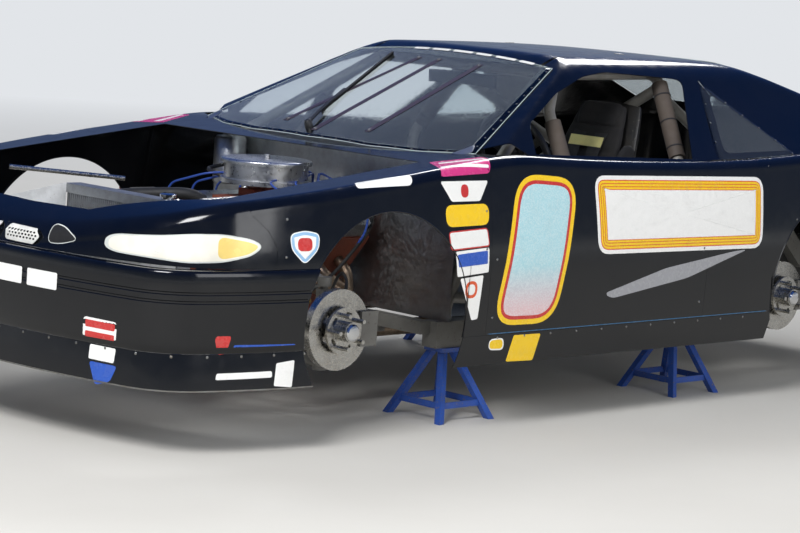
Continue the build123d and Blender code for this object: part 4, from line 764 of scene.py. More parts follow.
def make_body():
    """Smooth panels in place of the frame's plain ones."""
    black = finishes["body"]
    sided = {"fender": [fender_grid()], "door": [door_grid()], "quarter": quarter_grids()}
    for name, grids in sided.items():
        points, faces = join_grids(grids)
        for word, p, f in (("left", points, faces), ("right", points * MIRRORED, faces[:, ::-1])):
            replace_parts(shell(f"{name}_skin_{word}", p, f, black), f"{name}_{word}")
    nose_run = np.linspace(run_at(NOSE_JOINT + half_seam), plan_run[-1], 110)
    nose = end_grid(nose_run, CREASE + half_seam, NOSE_RIM, 14)
    tail_rim = np.array([(DECK_REAR, 0), (DECK_REAR, DECK_SIDE), (QUARTER_REAR - half_seam, DECK_SIDE)])
    tail = end_grid(np.linspace(0, run_at(QUARTER_REAR - half_seam), 90), TAIL_BOTTOM, tail_rim, 24)
    for name, grid, node in (("nose_skin", nose, "nose_panel"), ("tail_skin", tail, "tail_cover"),
                             ("skirt_skins", skirt_grid(), "skirts")):
        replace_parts(shell(name, *both_ways(*join_grids([grid])), black), node)
    for name, steps, middle, node in (("bumper_skin", BUMPER_STEPS, (600, 0, 350), "bumper_cover"),
                                      ("air_dam_skin", DAM_STEPS, (600, 0, 180), "air_dam")):
        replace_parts(shell(name, *join_grids([bumper_grid(steps)], inside=place(middle)), black), node)
    y = np.linspace(-DECK_SIDE + LID_GAP, DECK_SIDE - LID_GAP, 60)
    x = np.linspace(DECK_REAR + LID_GAP, DECK_FRONT - LID_GAP, 24)
    lid = place(np.stack(np.broadcast_arrays(x[:, None], y, top(x)[:, None] + 0.6), -1))
    shell("lid_skin", *join_grids([lid]), black, "lid", 2.0)


# Roof and pillars, with side-view outlines as (station, height) and plan outlines as (station, distance)
DOOR_WINDOW = [(-824, 850), (-905, 1005), (-1156, 1116), (-1371, 1180), (-1527, 1199), (-1960, 1178),
               (-1992, 1165), (-1757, 850)]
DOOR_COUNTS = [16, 16, 14, 14, 22, 8, 18, 30]
QUARTER_PANE = [(-2128, 1128), (-2004, 892), (-2470, 902)]
PANE_COUNTS = [24, 30, 40, 30, 24, 30]
REAR_PANE = np.array([(-2400, 430), (-3185, 610), (-3200, 0)])
STRIP_SIDE, STRIP_REAR = 470.0, -2390.0      # half width and rear end of the roof's middle strip
PILLAR_HEAD, RAIL_REAR, SAIL_TIP = (-2101, 618), (-2050, 470), (-2400, 470)
SAIL_BELT, SAIL_END = -3000.0, -3330.0       # where the sail panel's foot starts and ends on the belt
PANE_CORNER = 640.0                          # distance from the middle where its rim passes the pane's corner


def laid(plan_points, proud=0.0):
    """Plan points laid on the cabin."""
    return cabin(plan_points[..., 0], plan_points[..., 1], proud)


def ring(hole, outer, rows=12):
    """Grid between two closed plan outlines with as many points, on the cabin."""
    share = np.linspace(0, 1, rows)[None, :, None]
    return place(laid(hole[:, None] * (1 - share) + outer[:, None] * share))


def outline(corners, counts, radius=0.0):
    """Closed outline through corners with a number of points on each edge. A radius rounds its corners:
    each point is the average of nine that lie up to a radius to both sides along the outline."""
    edges = [np.linspace(corners[k], corners[(k + 1) % len(corners)], n, endpoint=False)
             for k, n in enumerate(counts)]
    line = np.concatenate(edges)
    if radius:
        thrice = np.concatenate([line, line, line])
        run = lengths(thrice)
        middle = run[len(line):2 * len(line)]
        line = np.mean([follow(thrice, run, middle + a) for a in np.linspace(-radius, radius, 9)], 0)
    return line


def on_side(points):
    """Side-view points (station, height) as plan points of the cabin's side."""
    points = np.asarray(points, float)
    return np.stack([points[..., 0], side_reach(points[..., 1])], -1)


def belt_point(x):
    """Plan point where the cabin meets the body's top at a station."""
    return (x, float(cabin_edge(np.array([x]))[0]))


def deck_foot(y):
    """Station where the cabin's back comes down to the deck at distances y from the middle."""
    stations = np.linspace(DECK_FRONT + 1, -2900, 800)
    over = cabin(stations[None], np.asarray(y, float)[:, None])[..., 2] > top(stations)[None]
    return stations[np.where(over.any(1), over.argmax(1), len(stations) - 1)]


def sail_grid():
    """The cabin's back from round the rear window out to the belt and down to the deck."""
    x = np.linspace(SAIL_BELT, SAIL_END, 40)
    belt = np.c_[x, cabin_edge(x)]
    y = np.linspace(belt[-1, 1], 0, 60)[1:]
    rim = np.concatenate([[SAIL_TIP], belt, np.c_[deck_foot(y), y]])
    run = lengths(rim) / lengths(rim)[-1]
    share = np.linspace(0, 1, 130)
    corner = np.argmin(np.abs(rim[:, 1] - PANE_CORNER) + 1e3 * (rim[:, 0] > SAIL_BELT - 100))
    outer = follow(rim, run, share)
    inner = follow(REAR_PANE, [0, run[corner], 1], share)
    return place(laid(inner[:, None] + (outer - inner)[:, None] * np.linspace(0, 1, 16)[None, :, None]))


def roof_strip():
    """The roof's middle strip from the windscreen's head, which bows back to the side, to the rear window."""
    y = np.linspace(0, STRIP_SIDE, 40)
    fore = np.interp(y, [0, 300, STRIP_SIDE], [-1206, -1222, -1250])
    x = STRIP_REAR + (fore - STRIP_REAR)[:, None] * np.linspace(0, 1, 60)
    return place(cabin(x, y[:, None]))


def roof_corner():
    """The corner between the strip, the sail and the pillar, as a fan that stops just short of the pillar's
    head."""
    rail = np.linspace(RAIL_REAR, SAIL_TIP, 30)
    share = np.linspace(0, 0.996, 14)[None, :, None]
    return place(laid(rail[:, None] + (PILLAR_HEAD - rail)[:, None] * share))


def make_roof():
    """Roof, pillars and window frames as surfaces over the plan, in place of the frame's shell."""
    door = ring(outline(on_side(DOOR_WINDOW), DOOR_COUNTS, 22),
                outline([belt_point(-800), (-640, 752), (-1000, 590), (-1255, 488), (-1500, 470), RAIL_REAR,
                         PILLAR_HEAD, belt_point(-1931)], DOOR_COUNTS))
    pane = on_side(QUARTER_PANE)
    corners = [point for a, b in zip(pane, np.roll(pane, -1, 0)) for point in (a, (a + b) / 2)]
    quarter = ring(outline(corners, PANE_COUNTS, 40),
                   outline([PILLAR_HEAD, (-2016, 760), belt_point(-1931), belt_point(-2500), belt_point(-3000),
                            SAIL_TIP], PANE_COUNTS), 16)
    points, faces = both_ways(*join_grids([door, roof_strip(), quarter, sail_grid(), roof_corner()]))
    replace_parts(shell("roof_skin", points, faces, finishes["body"]), "roof_shell")


# Clear sheets, as front and rear plan outlines of (station, distance from the middle) out to their sides
SCREEN_FRONT = [(-448, 0), (-464, 330), (-514, 560), (-606, 768)]
SCREEN_REAR = [(-1266, 0), (-1262, 300), (-1257, 545)]
REAR_FRONT = [(-2368, 0), (-2378, 455)]
REAR_REAR = [(-3222, 0), (-3206, 636)]
QUARTER_OUTER = np.array([(-2101, 1168), (-1938, 856), (-2500, 874)])    # side view of a quarter pane
SHEET = 2.6                                  # thickness of a clear sheet


def sheet_grid(front, rear, height, proud):
    """Grid of a clear sheet: plan points run from the front outline to the rear one at the same share of
    their half widths, and stand proud of a height function."""
    share = np.linspace(-1, 1, 41)
    ends = []
    for side in (front, rear):
        x, y = np.transpose(side)
        ends.append(np.c_[np.interp(np.abs(share) * y[-1], y, x), share * y[-1]])
    flat = ends[0][:, None] + (ends[1] - ends[0])[:, None] * np.linspace(0, 1, 37)[None, :, None]
    x, y = flat[..., 0], flat[..., 1]
    return np.stack([x, y, height(x, y) + proud], -1)


def edge_of(grid):
    """The four edges of a grid as one closed line."""
    return np.concatenate([grid[:, 0], grid[-1, 1:], grid[-2::-1, -1], grid[0, -2:0:-1]])


def over_cabin(x, y):
    """Cabin height for a sheet that lies on it."""
    return cabin(x, y)[..., 2]


def screen_point(x, y, proud=0.0):
    """Point on or off the windscreen over a plan point."""
    return np.stack(np.broadcast_arrays(x, y, screen_height(x, y) + proud), -1).astype(float)


def sheet_screws(sheets):
    """Screw heads and the way each stands: near the rims of the sheets, at their own pitch, and round the
    quarter panes."""
    heads, ways = [], []
    for grid, pitch in sheets:
        rim, inner = edge_of(grid), edge_of(grid[1:-1, 1:-1])
        nearest = np.array([inner[np.argmin(((inner - p) ** 2).sum(1))] for p in rim])
        line = rim + (nearest - rim) * 0.45
        run = lengths(line)
        spots = follow(line, run, np.arange(pitch / 2, run[-1], pitch))
        heads += list(spots + (0, 0, 1.6))
        ways += [(0.3, 0, 0.95)] * len(spots)
    rim = rounded(QUARTER_OUTER, 45, 400)
    rim = rim + (rim.mean(0) - rim) * 0.05
    run = lengths(rim)
    spots = laid(on_side(follow(rim, run, np.arange(30, run[-1], 82.0))), 3.0)
    for side in (1, -1):
        heads += list(spots * (1, side, 1))
        ways += [(0, side * 0.68, 0.73)] * len(spots)
    return heads, ways


def make_glass():
    """Windscreen, rear window and quarter panes: clear sheets on the skin, screwed down round their edges."""
    glass = finishes["glass"]
    screen = sheet_grid(SCREEN_FRONT, SCREEN_REAR, screen_height, 2.2)
    rear = sheet_grid(REAR_FRONT, REAR_REAR, over_cabin, 1.2)
    for name, grid, node in (("screen_sheet", screen, "windscreen"), ("rear_sheet", rear, "rear_windows")):
        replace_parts(shell(name, *join_grids([place(grid)]), glass, "root", -SHEET, 0), node)
    pane = rounded(QUARTER_OUTER, 45, 90)
    grid = pane.mean(0) + (pane - pane.mean(0))[:, None] * np.linspace(1, 0, 9)[None, :, None]
    films("quarter_panes", [laid(on_side(grid), 1.0)], glass, thick=SHEET)
    piece("sheet_screws", domes(*sheet_screws(((screen, 74.0), (rear, 110.0))), 4.2, 1.8), finishes["zinc"])
    rims = [edge_of(grid) + (0, 0, 1.4) for grid in (screen, rear)]
    piece("sheet_edges", [along(np.concatenate([rim, rim[:1]]), circle(1.6, 6)) for rim in rims],
          finishes["sheet_edge"])


def rounded(corners, radius, count):
    """Closed outline with its corners cut by parabolas that start a radius before each, as evenly spaced
    points."""
    c = np.asarray(corners, float)
    t = np.linspace(0, 1, 9)[:, None]
    runs = []
    for before, here, after in zip(np.roll(c, 1, 0), c, np.roll(c, -1, 0)):
        a, b = [v / np.linalg.norm(v) * min(radius, np.linalg.norm(v) * 0.49)
                for v in (before - here, after - here)]
        runs.append(here + a * (1 - t) ** 2 + b * t**2)
    line = np.concatenate(runs + [runs[0][:1]])
    run = lengths(line)
    return follow(line, run, np.linspace(0, run[-1], count, endpoint=False))


def drawn_in(line, depth):
    """A closed outline moved inwards by a depth, square to the line through each point's neighbours."""
    way = np.roll(line, -1, 0) - np.roll(line, 1, 0)
    way /= np.linalg.norm(way, axis=1)[:, None]
    inward = np.c_[-way[:, 1], way[:, 0]]
    if ((line.mean(0) - line) * inward).sum() < 0:
        inward = -inward
    return line + inward * depth


# Surfaces that films and screws lie on
FILM = 0.35                                  # thickness of a film, and its rise over the layer under it


def on_side_skin(x, s, proud):
    """Point of the left side at a station and a girth."""
    return skin(run_at(x), s, proud)


BUMPER_LEVELS = ([104, 160, 226, 231.6, 232.4, 260, 398, 470, 510],
                 [0, 4.5, 11.4, 12, 9, 2.5, 0, 0, 3.0])       # height, inset without the bumper's grooves


def on_bumper(r, z, proud):
    """Point of the bumper or air dam at a distance along its plan and a height."""
    x, y, tx, ty = [np.interp(r, bumper_run, c) for c in (*bumper_line.T, *bumper_way.T)]
    depth = np.interp(z, *BUMPER_LEVELS) - proud
    return np.stack([x + ty * depth, y - tx * depth, z + 0 * x], -1)


def patch(line, proud, surface=on_side_skin, rows=9):
    """Film inside a closed outline: rings shrink from the outline to its middle and are laid on a surface."""
    middle = line.mean(0)
    flat = middle + (line - middle)[:, None] * np.linspace(1, 0, rows)[None, :, None]
    return surface(flat[..., 0], flat[..., 1], proud)


def films(name, grids, material, mirror=True, thick=FILM):
    """One object of thin films from grids that close round their middles."""
    points, faces = join_grids([place(g) for g in grids], around=True)
    if mirror:
        points, faces = both_ways(points, faces)
    points, faces = weld(points * 1000, faces)
    made = link(name, new_mesh(name, points / 1000, faces, None), material)
    film = made.modifiers.new("film", "SOLIDIFY")
    film.thickness = thick / 1000
    film.offset = -1
    even = made.modifiers.new("even", "WEIGHTED_NORMAL")
    even.weight = 100
    return made


# Cut films: outlines are (station, girth) on the left side or (distance along the plan, height) on the bumper
DOOR_PLATE = [(-676, 838), (-1022, 812), (-912, 262), (-560, 268)]
SIDE_PANEL = [(-1116, 822), (-2190, 800), (-2178, 508), (-1136, 518)]
SHIELD = [(455, 640), (393, 652), (331, 640), (336, 585), (394, 532), (450, 585)]
BADGE = [(-296, 630), (-505, 640), (-518, 570), (-310, 560)]
PINSTRIPE = [(-541, 240), (-2262, 240), (-2262, 236.6), (-541, 236.6)]

# Surface and points on an outline; then finish, corner radius, layer, how far it is drawn in, and outline
FILMS = (
    (on_side_skin, 120, (
        ("yellow_film", 120, 0, 0, DOOR_PLATE),
        ("red_film", 120, 1, 20, DOOR_PLATE),
        ("number_fill", 120, 2, 34, DOOR_PLATE),
    )),
    (on_side_skin, 160, (
        ("white_film", 60, 0, 0, SIDE_PANEL),
        ("orange_film", 60, 1, 16, SIDE_PANEL),
        ("yellow_film", 60, 2, 20, SIDE_PANEL),
        ("orange_film", 60, 3, 29, SIDE_PANEL),
        ("yellow_film", 60, 4, 32, SIDE_PANEL),
        ("orange_film", 60, 5, 41, SIDE_PANEL),
        ("yellow_film", 60, 6, 44, SIDE_PANEL),
        ("orange_film", 60, 7, 52, SIDE_PANEL),
        ("white_film", 60, 8, 55, SIDE_PANEL),
    )),
    (on_side_skin, 64, (
        ("magenta_film", 10, 0, 0, [(-360, 1003), (-572, 952), (-522, 838), (-270, 829)]),
        ("white_film", 3, 1, 0, [(-372, 968), (-552, 928), (-545, 912), (-356, 946)]),
        ("white_film", 3, 1, 0, [(-316, 896), (-528, 872), (-524, 858), (-300, 876)]),
        ("white_film", 8, 0, 0, [(-262, 812), (-515, 812), (-468, 738), (-318, 738)]),
        ("red_film", 24, 1, 0, [(-368, 800), (-408, 800), (-408, 752), (-368, 752)]),
        ("yellow_film", 34, 0, 0, [(-282, 726), (-512, 728), (-514, 650), (-288, 646)]),
        ("red_film", 16, 0, 0, BADGE),
        ("white_film", 16, 1, 5, BADGE),
        ("white_film", 5, 0, 0, [(-334, 556), (-514, 566), (-516, 474), (-350, 462)]),
        ("blue_film", 4, 1, 0, [(-345, 545), (-506, 555), (-508, 506), (-354, 498)]),
        ("white_film", 5, 0, 0, [(-366, 455), (-490, 464), (-478, 300), (-446, 296)]),
        ("orange_film", 31, 1, 0, [(-398, 444), (-462, 444), (-462, 380), (-398, 380)]),
        ("white_film", 20, 2, 0, [(-410, 432), (-450, 432), (-450, 392), (-410, 392)]),
        ("yellow_film", 6, 0, 0, [(-690, 226), (-842, 224), (-812, 122), (-660, 126)]),
        ("white_film", 22, 0, 0, [(-556, 218), (-636, 220), (-640, 172), (-556, 176)]),
        ("yellow_film", 19, 1, 0, [(-560, 213), (-630, 215), (-634, 178), (-560, 181)]),
        ("white_film", 22, 0, 0, SHIELD),
        ("pale_blue_film", 22, 1, 4, SHIELD),
        ("white_film", 18, 2, 15, SHIELD),
        ("red_film", 20, 3, 0, [(424, 626), (364, 626), (364, 580), (424, 580)]),
        ("white_film", 20, 0, 0, [(120, 850), (-135, 848), (-115, 800), (150, 796)]),
    )),
    (on_side_skin, 120, (
        ("silver_film", 30, 0, 0, [(-1190, 362), (-1240, 340), (-1700, 402), (-2085, 506), (-1990, 500),
          (-1560, 448)]),
    )),
    (on_side_skin, 200, (
        ("pin_film", 1, 0, 0, PINSTRIPE),
    )),
    (on_bumper, 64, (
        ("white_film", 4, 0, 0, [(1350, 452), (1500, 452), (1500, 392), (1350, 392)]),
        ("white_film", 4, 0, 0, [(1528, 452), (1672, 452), (1672, 392), (1528, 392)]),
        ("white_film", 16, 0, 0, [(1068, 318), (1218, 322), (1218, 244), (1072, 240)]),
        ("red_film", 5, 1, 0, [(1076, 310), (1208, 313), (1208, 288), (1078, 286)]),
        ("red_film", 5, 1, 0, [(1078, 272), (1208, 274), (1208, 252), (1080, 249)]),
        ("white_film", 6, 0, 0, [(1075, 226), (1190, 228), (1190, 178), (1078, 176)]),
        ("blue_film", 14, 0, 0, [(1062, 168), (1186, 170), (1150, 92), (1086, 112)]),
        ("red_film", 22, 0, 0, [(640, 300), (708, 296), (690, 228), (660, 232)]),
        ("blue_film", 6, 0, 0, [(378, 260), (632, 264), (632, 240), (380, 238)]),
        ("white_film", 4, 0, 0, [(470, 168), (690, 166), (694, 144), (470, 146)]),
        ("white_film", 5, 0, 0, [(374, 202), (452, 194), (462, 116), (386, 108)]),
    )),
)


def make_films():
    """Plain plates, stripes and bands on the sides and the bumper."""
    stacks = {}
    for surface, count, rows in FILMS:
        for name, radius, layer, inset, corners in rows:
            line = rounded(corners, radius, count)
            if inset:
                line = drawn_in(line, inset)
            stacks.setdefault(name, []).append(patch(line, choice("film_gap") + FILM * layer, surface))
    for name, grids in stacks.items():
        films(name + "s", grids, finishes[name])


# Lamps and outer trim
LAMP_OUTLINE = [(790, 633), (700, 637), (600, 622), (558, 598), (600, 566), (700, 541),
                (800, 532), (932, 545), (932, 604)]
LAMP_AMBER = [(716, 629), (610, 612), (572, 598), (610, 572), (716, 549)]
SEAM_SCREWS = ((-502, 560), (-502, 700), (-1795, 300), (-1795, 520), (-1795, 740), (470, 560), (465, 690),
               (-560, 300), (-560, 520), (-2420, 620), (-2900, 640))
LOW_SCREWS = 222.0                           # height of the screws along the air dam and the skirt
WIPER_ARM = np.array([(-520, -60, 26), (-600, -96, 26), (-700, -138, 22), (-831, -191, 14)])    # last: height
WIPER_BLADE = ((-640, -120), (-1180, -280))
STRAPS = (((-551, -236), (-1174, -112)), ((-497, -12), (-1173, 4)), ((-551, 236), (-1174, 232)))
STRAP_BOLTS = ((-562, -233), (-1163, -114), (-509, -12), (-1162, 4), (-562, 236), (-1163, 232))
BRACKET = [(-548, 684), (-652, 722), (-606, 752), (-560, 728)]
BANNER_FRONT, BANNER_REAR = -1246.0, -1262.0
BANNER_BARS = ((-225, -140), (-120, -20), (0, 110), (130, 215), (240, 350), (370, 450))
TAIL_LAMPS = {"red_lamp": [(770, 770), (420, 776), (420, 672), (770, 668)],
              "amber_lamp": [(412, 776), (330, 778), (330, 672), (412, 672)],
              "lamp": [(322, 778), (250, 778), (250, 672), (322, 672)]}
TAIL_PANEL = [(790, 792), (0, 796), (0, 652), (790, 650)]
NOSE_RECESS = [(238, 596), (300, 592), (372, 566), (300, 545), (238, 542)]


def make_lamps():
    """Headlamp panels of film: a soft white outline, a white inner half and a pale amber outer half."""
    outer = rounded(LAMP_OUTLINE, 26, 140)
    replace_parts(films("lamp_rims", [patch(outer, 0.6)], finishes["lamp_rim"]), "headlights")
    films("lamp_films", [patch(drawn_in(outer, 5.0), 1.0)], finishes["lamp"])
    films("lamp_ambers", [patch(rounded(LAMP_AMBER, 26, 90), 1.4)], finishes["lamp_amber"])


def make_lips():
    """The air dam's lower lip and the rolled edges of the wheel arches."""
    r = np.linspace(294, bumper_run[-1], 160)
    piece("dam_lip", [along(on_bumper(r, 106.0, 1.0), box_section(2.2, 5))], finishes["zinc"], mirror=True)
    rolled = []
    for wheel in (FRONT_ARCH, REAR_ARCH):
        x, z = arch(wheel, SKIRT_SEAM, SKIRT_SEAM, 90).T
        rolled.append(along(on_side_skin(x, z, -2.6), circle(4.2, 10), up=(0, 1, 0)))
    piece("arch_lips", rolled, finishes["body"], mirror=True)


def make_panel_screws():
    """Screw heads along the air dam, the skirt and the panels' seams, square to the surface under each."""
    spots = [(on_bumper, r, LOW_SCREWS) for r in np.arange(330, 1700, choice("screw_pitch"))]
    spots += [(on_side_skin, x, LOW_SCREWS) for x in np.arange(-600, -2250, -150.0)]
    spots += [(on_side_skin, x, girth) for x, girth in SEAM_SCREWS]
    heads = np.array([surface(u, v, 0.0) for surface, u, v in spots])
    ways = np.array([surface(u, v, 1.0) for surface, u, v in spots]) - heads
    both = [domes(heads * side, ways * side, 5.0, 2.0) for side in (np.ones(3), MIRRORED)]
    piece("panel_screws", both[0] + both[1], finishes["zinc"])


def make_wiper():
    """The wiper's arm on its post, and its blade with a stiffener."""
    post = [(0, 0), (0, 17), (22, 15), (30, 9), (30, 0)]
    post = turned(screen_point(*WIPER_ARM[0, :2], 4), (0.4, 0, 0.9), post)
    piece("wiper_arm", [along(screen_point(*WIPER_ARM.T), box_section(13, 6)), post], finishes["plastic"])
    blade = screen_point(*np.linspace(*WIPER_BLADE, 30).T, 9.0)
    piece("wiper_blade", [along(blade, box_section(7, 11)), along(blade + (0, 0, 8), box_section(11, 3))],
          finishes["rubber"])


def on_screen(x, y, proud):
    """Point over the windscreen's sheet."""
    return screen_point(x, y, 5.5 + proud)


def make_straps():
    """Straps down the windscreen with their bolts, the brackets in its lower corners and the bars along its
    head."""
    bands = [along(screen_point(*np.linspace(*ends, 30).T, 5.0), box_section(27, 2.4)) for ends in STRAPS]
    piece("screen_straps", bands, finishes["strap"])
    bolts = [screen_point(x, y, 6.5) for x, y in STRAP_BOLTS]
    piece("strap_bolts", domes(bolts, [(0.4, 0, 0.92)] * len(bolts), 8.0, 5.0), finishes["zinc"])
    bracket = patch(rounded(BRACKET, 12, 40), 0.8, on_screen, 5)
    films("screen_brackets", [bracket], finishes["sheet"], thick=2.5)
    bars = [rounded([(BANNER_FRONT, y0), (BANNER_REAR, y0), (BANNER_REAR, y1), (BANNER_FRONT, y1)], 4, 24)
            for y0, y1 in BANNER_BARS]
    films("banner_bars", [patch(bar, 0.8, on_screen, 4) for bar in bars], finishes["white_film"],
          mirror=False)


def on_tail(y, girth, proud):
    """Point of the tail cover's rear face at a distance from the middle and a girth."""
    tail = plan_line[:, 0] < -3500
    return skin(np.interp(-y, -plan_line[tail, 1][::-1], plan_run[tail][::-1]), girth, proud)


def on_nose(y, girth, proud):
    """Point of the nose at a distance from the middle and a girth."""
    ahead = plan_line[:, 0] > 850
    return skin(np.interp(-y, -plan_line[ahead, 1], plan_run[ahead]), girth, proud)


def make_end_trim():
    """Tail lamps on their dark panel, and the rimmed recesses of the nose."""
    for name, corners in TAIL_LAMPS.items():
        films("tail_" + name, [patch(rounded(corners, 18, 60), 3.0, on_tail)], finishes[name], thick=2.2)
    behind = patch(rounded(TAIL_PANEL, 18, 90), 0.8, on_tail)
    films("tail_panels", [behind], finishes["plastic"], mirror=False)
    recess = rounded(NOSE_RECESS, 24, 60)
    films("nose_recesses", [patch(recess, 0.6, on_nose)], finishes["rubber"])
    films("nose_recess_rims", [patch(drawn_in(recess, -3.0), 0.25, on_nose)], finishes["lamp_rim"])


def make_trim():
    """Lips, screws, wiper, straps, tail lamps and recesses outside the car."""
    make_lips()
    make_panel_screws()
    make_wiper()
    make_straps()
    make_end_trim()


# Cockpit
SEAT_Y = 410.0
# Side-view paths of the seat's forms as (station, height)
SEAT_SHELL = ((-1215, 395), (-1300, 420), (-1500, 398), (-1600, 440), (-1700, 720), (-1800, 1040),
              (-1808, 1068))
SEAT_BACK = ((-1500, 452), (-1560, 560), (-1640, 760), (-1722, 965), (-1765, 1062))
SEAT_BASE = ((-1212, 440), (-1290, 462), (-1400, 458), (-1520, 446))
SEAT_SIDE = ((-1230, 452), (-1420, 470), (-1560, 520), (-1640, 700), (-1715, 900))
HEADREST = ((-1712, 962), (-1732, 1010), (-1752, 1062))
LABEL = (-1653, 902)
BOLSTER_Y, LABEL_HALF = 186.0, 88.0          # bolster's distance from the seat's middle, half a label's width
BACK_SEAMS, BASE_SEAMS = (0.16, 0.33, 0.5, 0.67, 0.84), (0.35, 0.7)           # shares of a pad's length
DIALS = ((300, 806, 42), (400, 812, 52), (500, 806, 42), (215, 796, 30), (140, 796, 30), (70, 796, 30))
DASH_TOP, DASH_SLOPE, DIAL_WAY = (-823.0, 850.0), 0.38, (-0.93, 0, 0.36)    # the dash's face and its way
PADDED_TUBE = ((-1141.0, 768.0, 800.0), (-1166.0, 648.0, 1000.0))           # padded run of the front tube
HOOP_HEIGHTS = (862, 1150)                   # the padded run of the main hoop
STRAP_HEIGHTS = (900.0, 1000.0, 1100.0)


def pad(path, wide, thick, seams=(), power=3.0, count=28):
    """A padded form along a path in the xz plane: a rounded box section of half widths wide and half
    thicknesses thick, crowned between sewn seams. Its corners follow |cos|^(2 / power), and its ends
    close."""
    path = np.asarray(path, float)
    run = lengths(path)
    u = np.linspace(0, run[-1], 72)
    line = follow(path, run, u)
    for _ in range(6):
        line[1:-1] = (line[:-2] + 2 * line[1:-1] + line[2:]) / 4
    out = np.cross(directions(line), (0.0, 1.0, 0.0))
    share = u / run[-1]
    close = (1 - (2 * share - 1) ** 10) ** 0.5
    sewn = 1 - 0.32 * sum((np.exp(-((share - seam) / 0.014) ** 2) for seam in seams), np.zeros_like(u))
    a, b = [np.sign(v) * np.abs(v) ** (2 / power) for v in circle(1, count).T]
    half = np.interp(share, np.linspace(0, 1, len(wide)), wide) * (0.86 + 0.14 * close)
    deep = np.interp(share, np.linspace(0, 1, len(thick)), thick) * close * sewn
    crown = 1 + 0.18 * (1 - a**2)
    rise = (b * crown)[:, None, None] * deep[:, None] * out
    grid = line + a[:, None, None] * half[:, None] * (0, 1, 0) + rise
    grid[:, 0] = line[0]
    grid[:, -1] = line[-1]
    return turn_out(grid.reshape(-1, 3), grid_faces(count, len(u), around=True))


def turn_out(points, faces):
    """A closed part with its faces turned so that its volume is positive."""
    a, b, c, d = (points[faces[:, k]] for k in range(4))
    volume = (np.einsum("ij,ij->i", a, np.cross(b, c)) + np.einsum("ij,ij->i", a, np.cross(c, d))).sum()
    return points, faces if volume > 0 else faces[:, ::-1]


def at_seat(side_points, aside=0.0):
    """Side-view points put in the seat's middle plane, or aside of it."""
    x, z = np.transpose(side_points)
    return np.c_[x, np.full(len(x), SEAT_Y + aside), z]


def make_seat():
    """A thin shell that carries sewn pads, side bolsters and a headrest, with a blank label."""
    shell_form = pad(at_seat(SEAT_SHELL), (205, 208, 208, 200, 165), [11] * 5, power=6)
    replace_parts(piece("seat_shell", [shell_form], finishes["can"]), "seat")
    back = pad(at_seat(SEAT_BACK), (160, 165, 168, 150, 118), (26, 28, 26, 24, 24), BACK_SEAMS)
    base = pad(at_seat(SEAT_BASE), (160, 166, 166, 160), (20, 24, 24, 20), BASE_SEAMS)
    for name, form in (("seat_back_pad", back), ("seat_base_pad", base)):
        made = piece(name, [form], finishes["seat"], sharp=60)
        soft = made.modifiers.new("soft", "SUBSURF")
        soft.levels = soft.render_levels = 1
    for word, aside in (("left", BOLSTER_Y), ("right", -BOLSTER_Y)):
        form = pad(at_seat(SEAT_SIDE, aside), (20, 22, 26, 22, 18), (48, 60, 66, 60, 40), power=2.6)
        made = piece(f"seat_bolster_{word}", [form], finishes["seat"], sharp=60)
    head = pad(at_seat(HEADREST), (104, 112, 96), (24, 26, 20), power=2.6)
    made = piece("headrest", [head], finishes["seat"], sharp=60)
    label = at_seat([LABEL, LABEL]) + [(0, -LABEL_HALF, 0), (0, LABEL_HALF, 0)]
    piece("seat_label", [along(label, box_section(3, 44), up=(-0.36, 0, 0.93))], finishes["label"])


def make_harness():
    """Flat shoulder and lap straps that meet in a round buckle."""
    straps = []
    for w in (1, -1):
        shoulder = [(-1745, SEAT_Y + w * 62, 985), (-1668, SEAT_Y + w * 58, 930),
                    (-1560, SEAT_Y + w * 50, 700), (-1472, SEAT_Y + w * 26, 505)]
        lap = [(-1560, SEAT_Y + w * 168, 470), (-1500, SEAT_Y + w * 120, 505), (-1466, SEAT_Y + w * 30, 500)]
        straps.append(along(bent(shoulder, 60), box_section(66, 2.6), up=(1, 0, 0.4)))
        straps.append(along(bent(lap, 50), box_section(66, 2.6), up=(0.5, 0, 1)))
    piece("harness", straps, finishes["belt"])
    buckle = turned((-1462, SEAT_Y, 506), (0.6, 0, 0.8), [(-6, 0), (-6, 36), (8, 36), (12, 30), (12, 0)])
    piece("harness_buckle", [buckle], finishes["chrome"])


def make_gauges():
    """White dials in dark bodies on the leaning face of the dash."""
    kinds = (("gauge_dials", -5, -4, 9, "dial"), ("gauge_bodies", 1, -5, 7, "plastic"))
    for name, wider, low, high, material in kinds:
        parts = []
        for y, z, radius in DIALS:
            profile = [(low, 0), (low, radius + wider), (high, radius + wider), (high, 0)]
            parts.append(turned((DASH_TOP[0] - (DASH_TOP[1] - z) * DASH_SLOPE, y, z), DIAL_WAY, profile, 28))
        piece(name, parts, finishes[material])


def make_controls():
    """Shift lever on its boot, its knob, and the wide mirror under the roof."""
    lever = bent([(-1120, 60, 470), (-1130, 66, 580), (-1170, 90, 700)], 60)
    boot = turned((-1120, 60, 468), (0, 0, 1), [(0, 0), (0, 44), (16, 34), (24, 14), (24, 0)])
    piece("shift_lever", [along(lever, circle(7, 12), up=(0, 1, 0)), boot], finishes["chrome"])
    knob = turned((-1172, 91, 700), (-0.2, 0.1, 1), [(-14, 0), (-10, 15), (6, 21), (20, 15), (26, 0)])
    piece("shift_knob", [knob], finishes["plastic"])
    mirror = [(-1318, -190, 1118), (-1312, -100, 1122), (-1310, 0, 1124), (-1312, 100, 1122),
              (-1318, 190, 1118)]
    stem = rod((-1330, 0, 1130), (-1330, 0, 1170), 6)
    piece("cabin_mirror", [along(mirror, box_section(10, 52)), stem], finishes["plastic"])


def hoop_point(z, side):
    """Point on the middle line of the cage's main hoop at a height."""
    return np.stack([-1680 - 0.27 * (z - 240), side * (770 - 240 * (z - 820) / 365), z], -1)


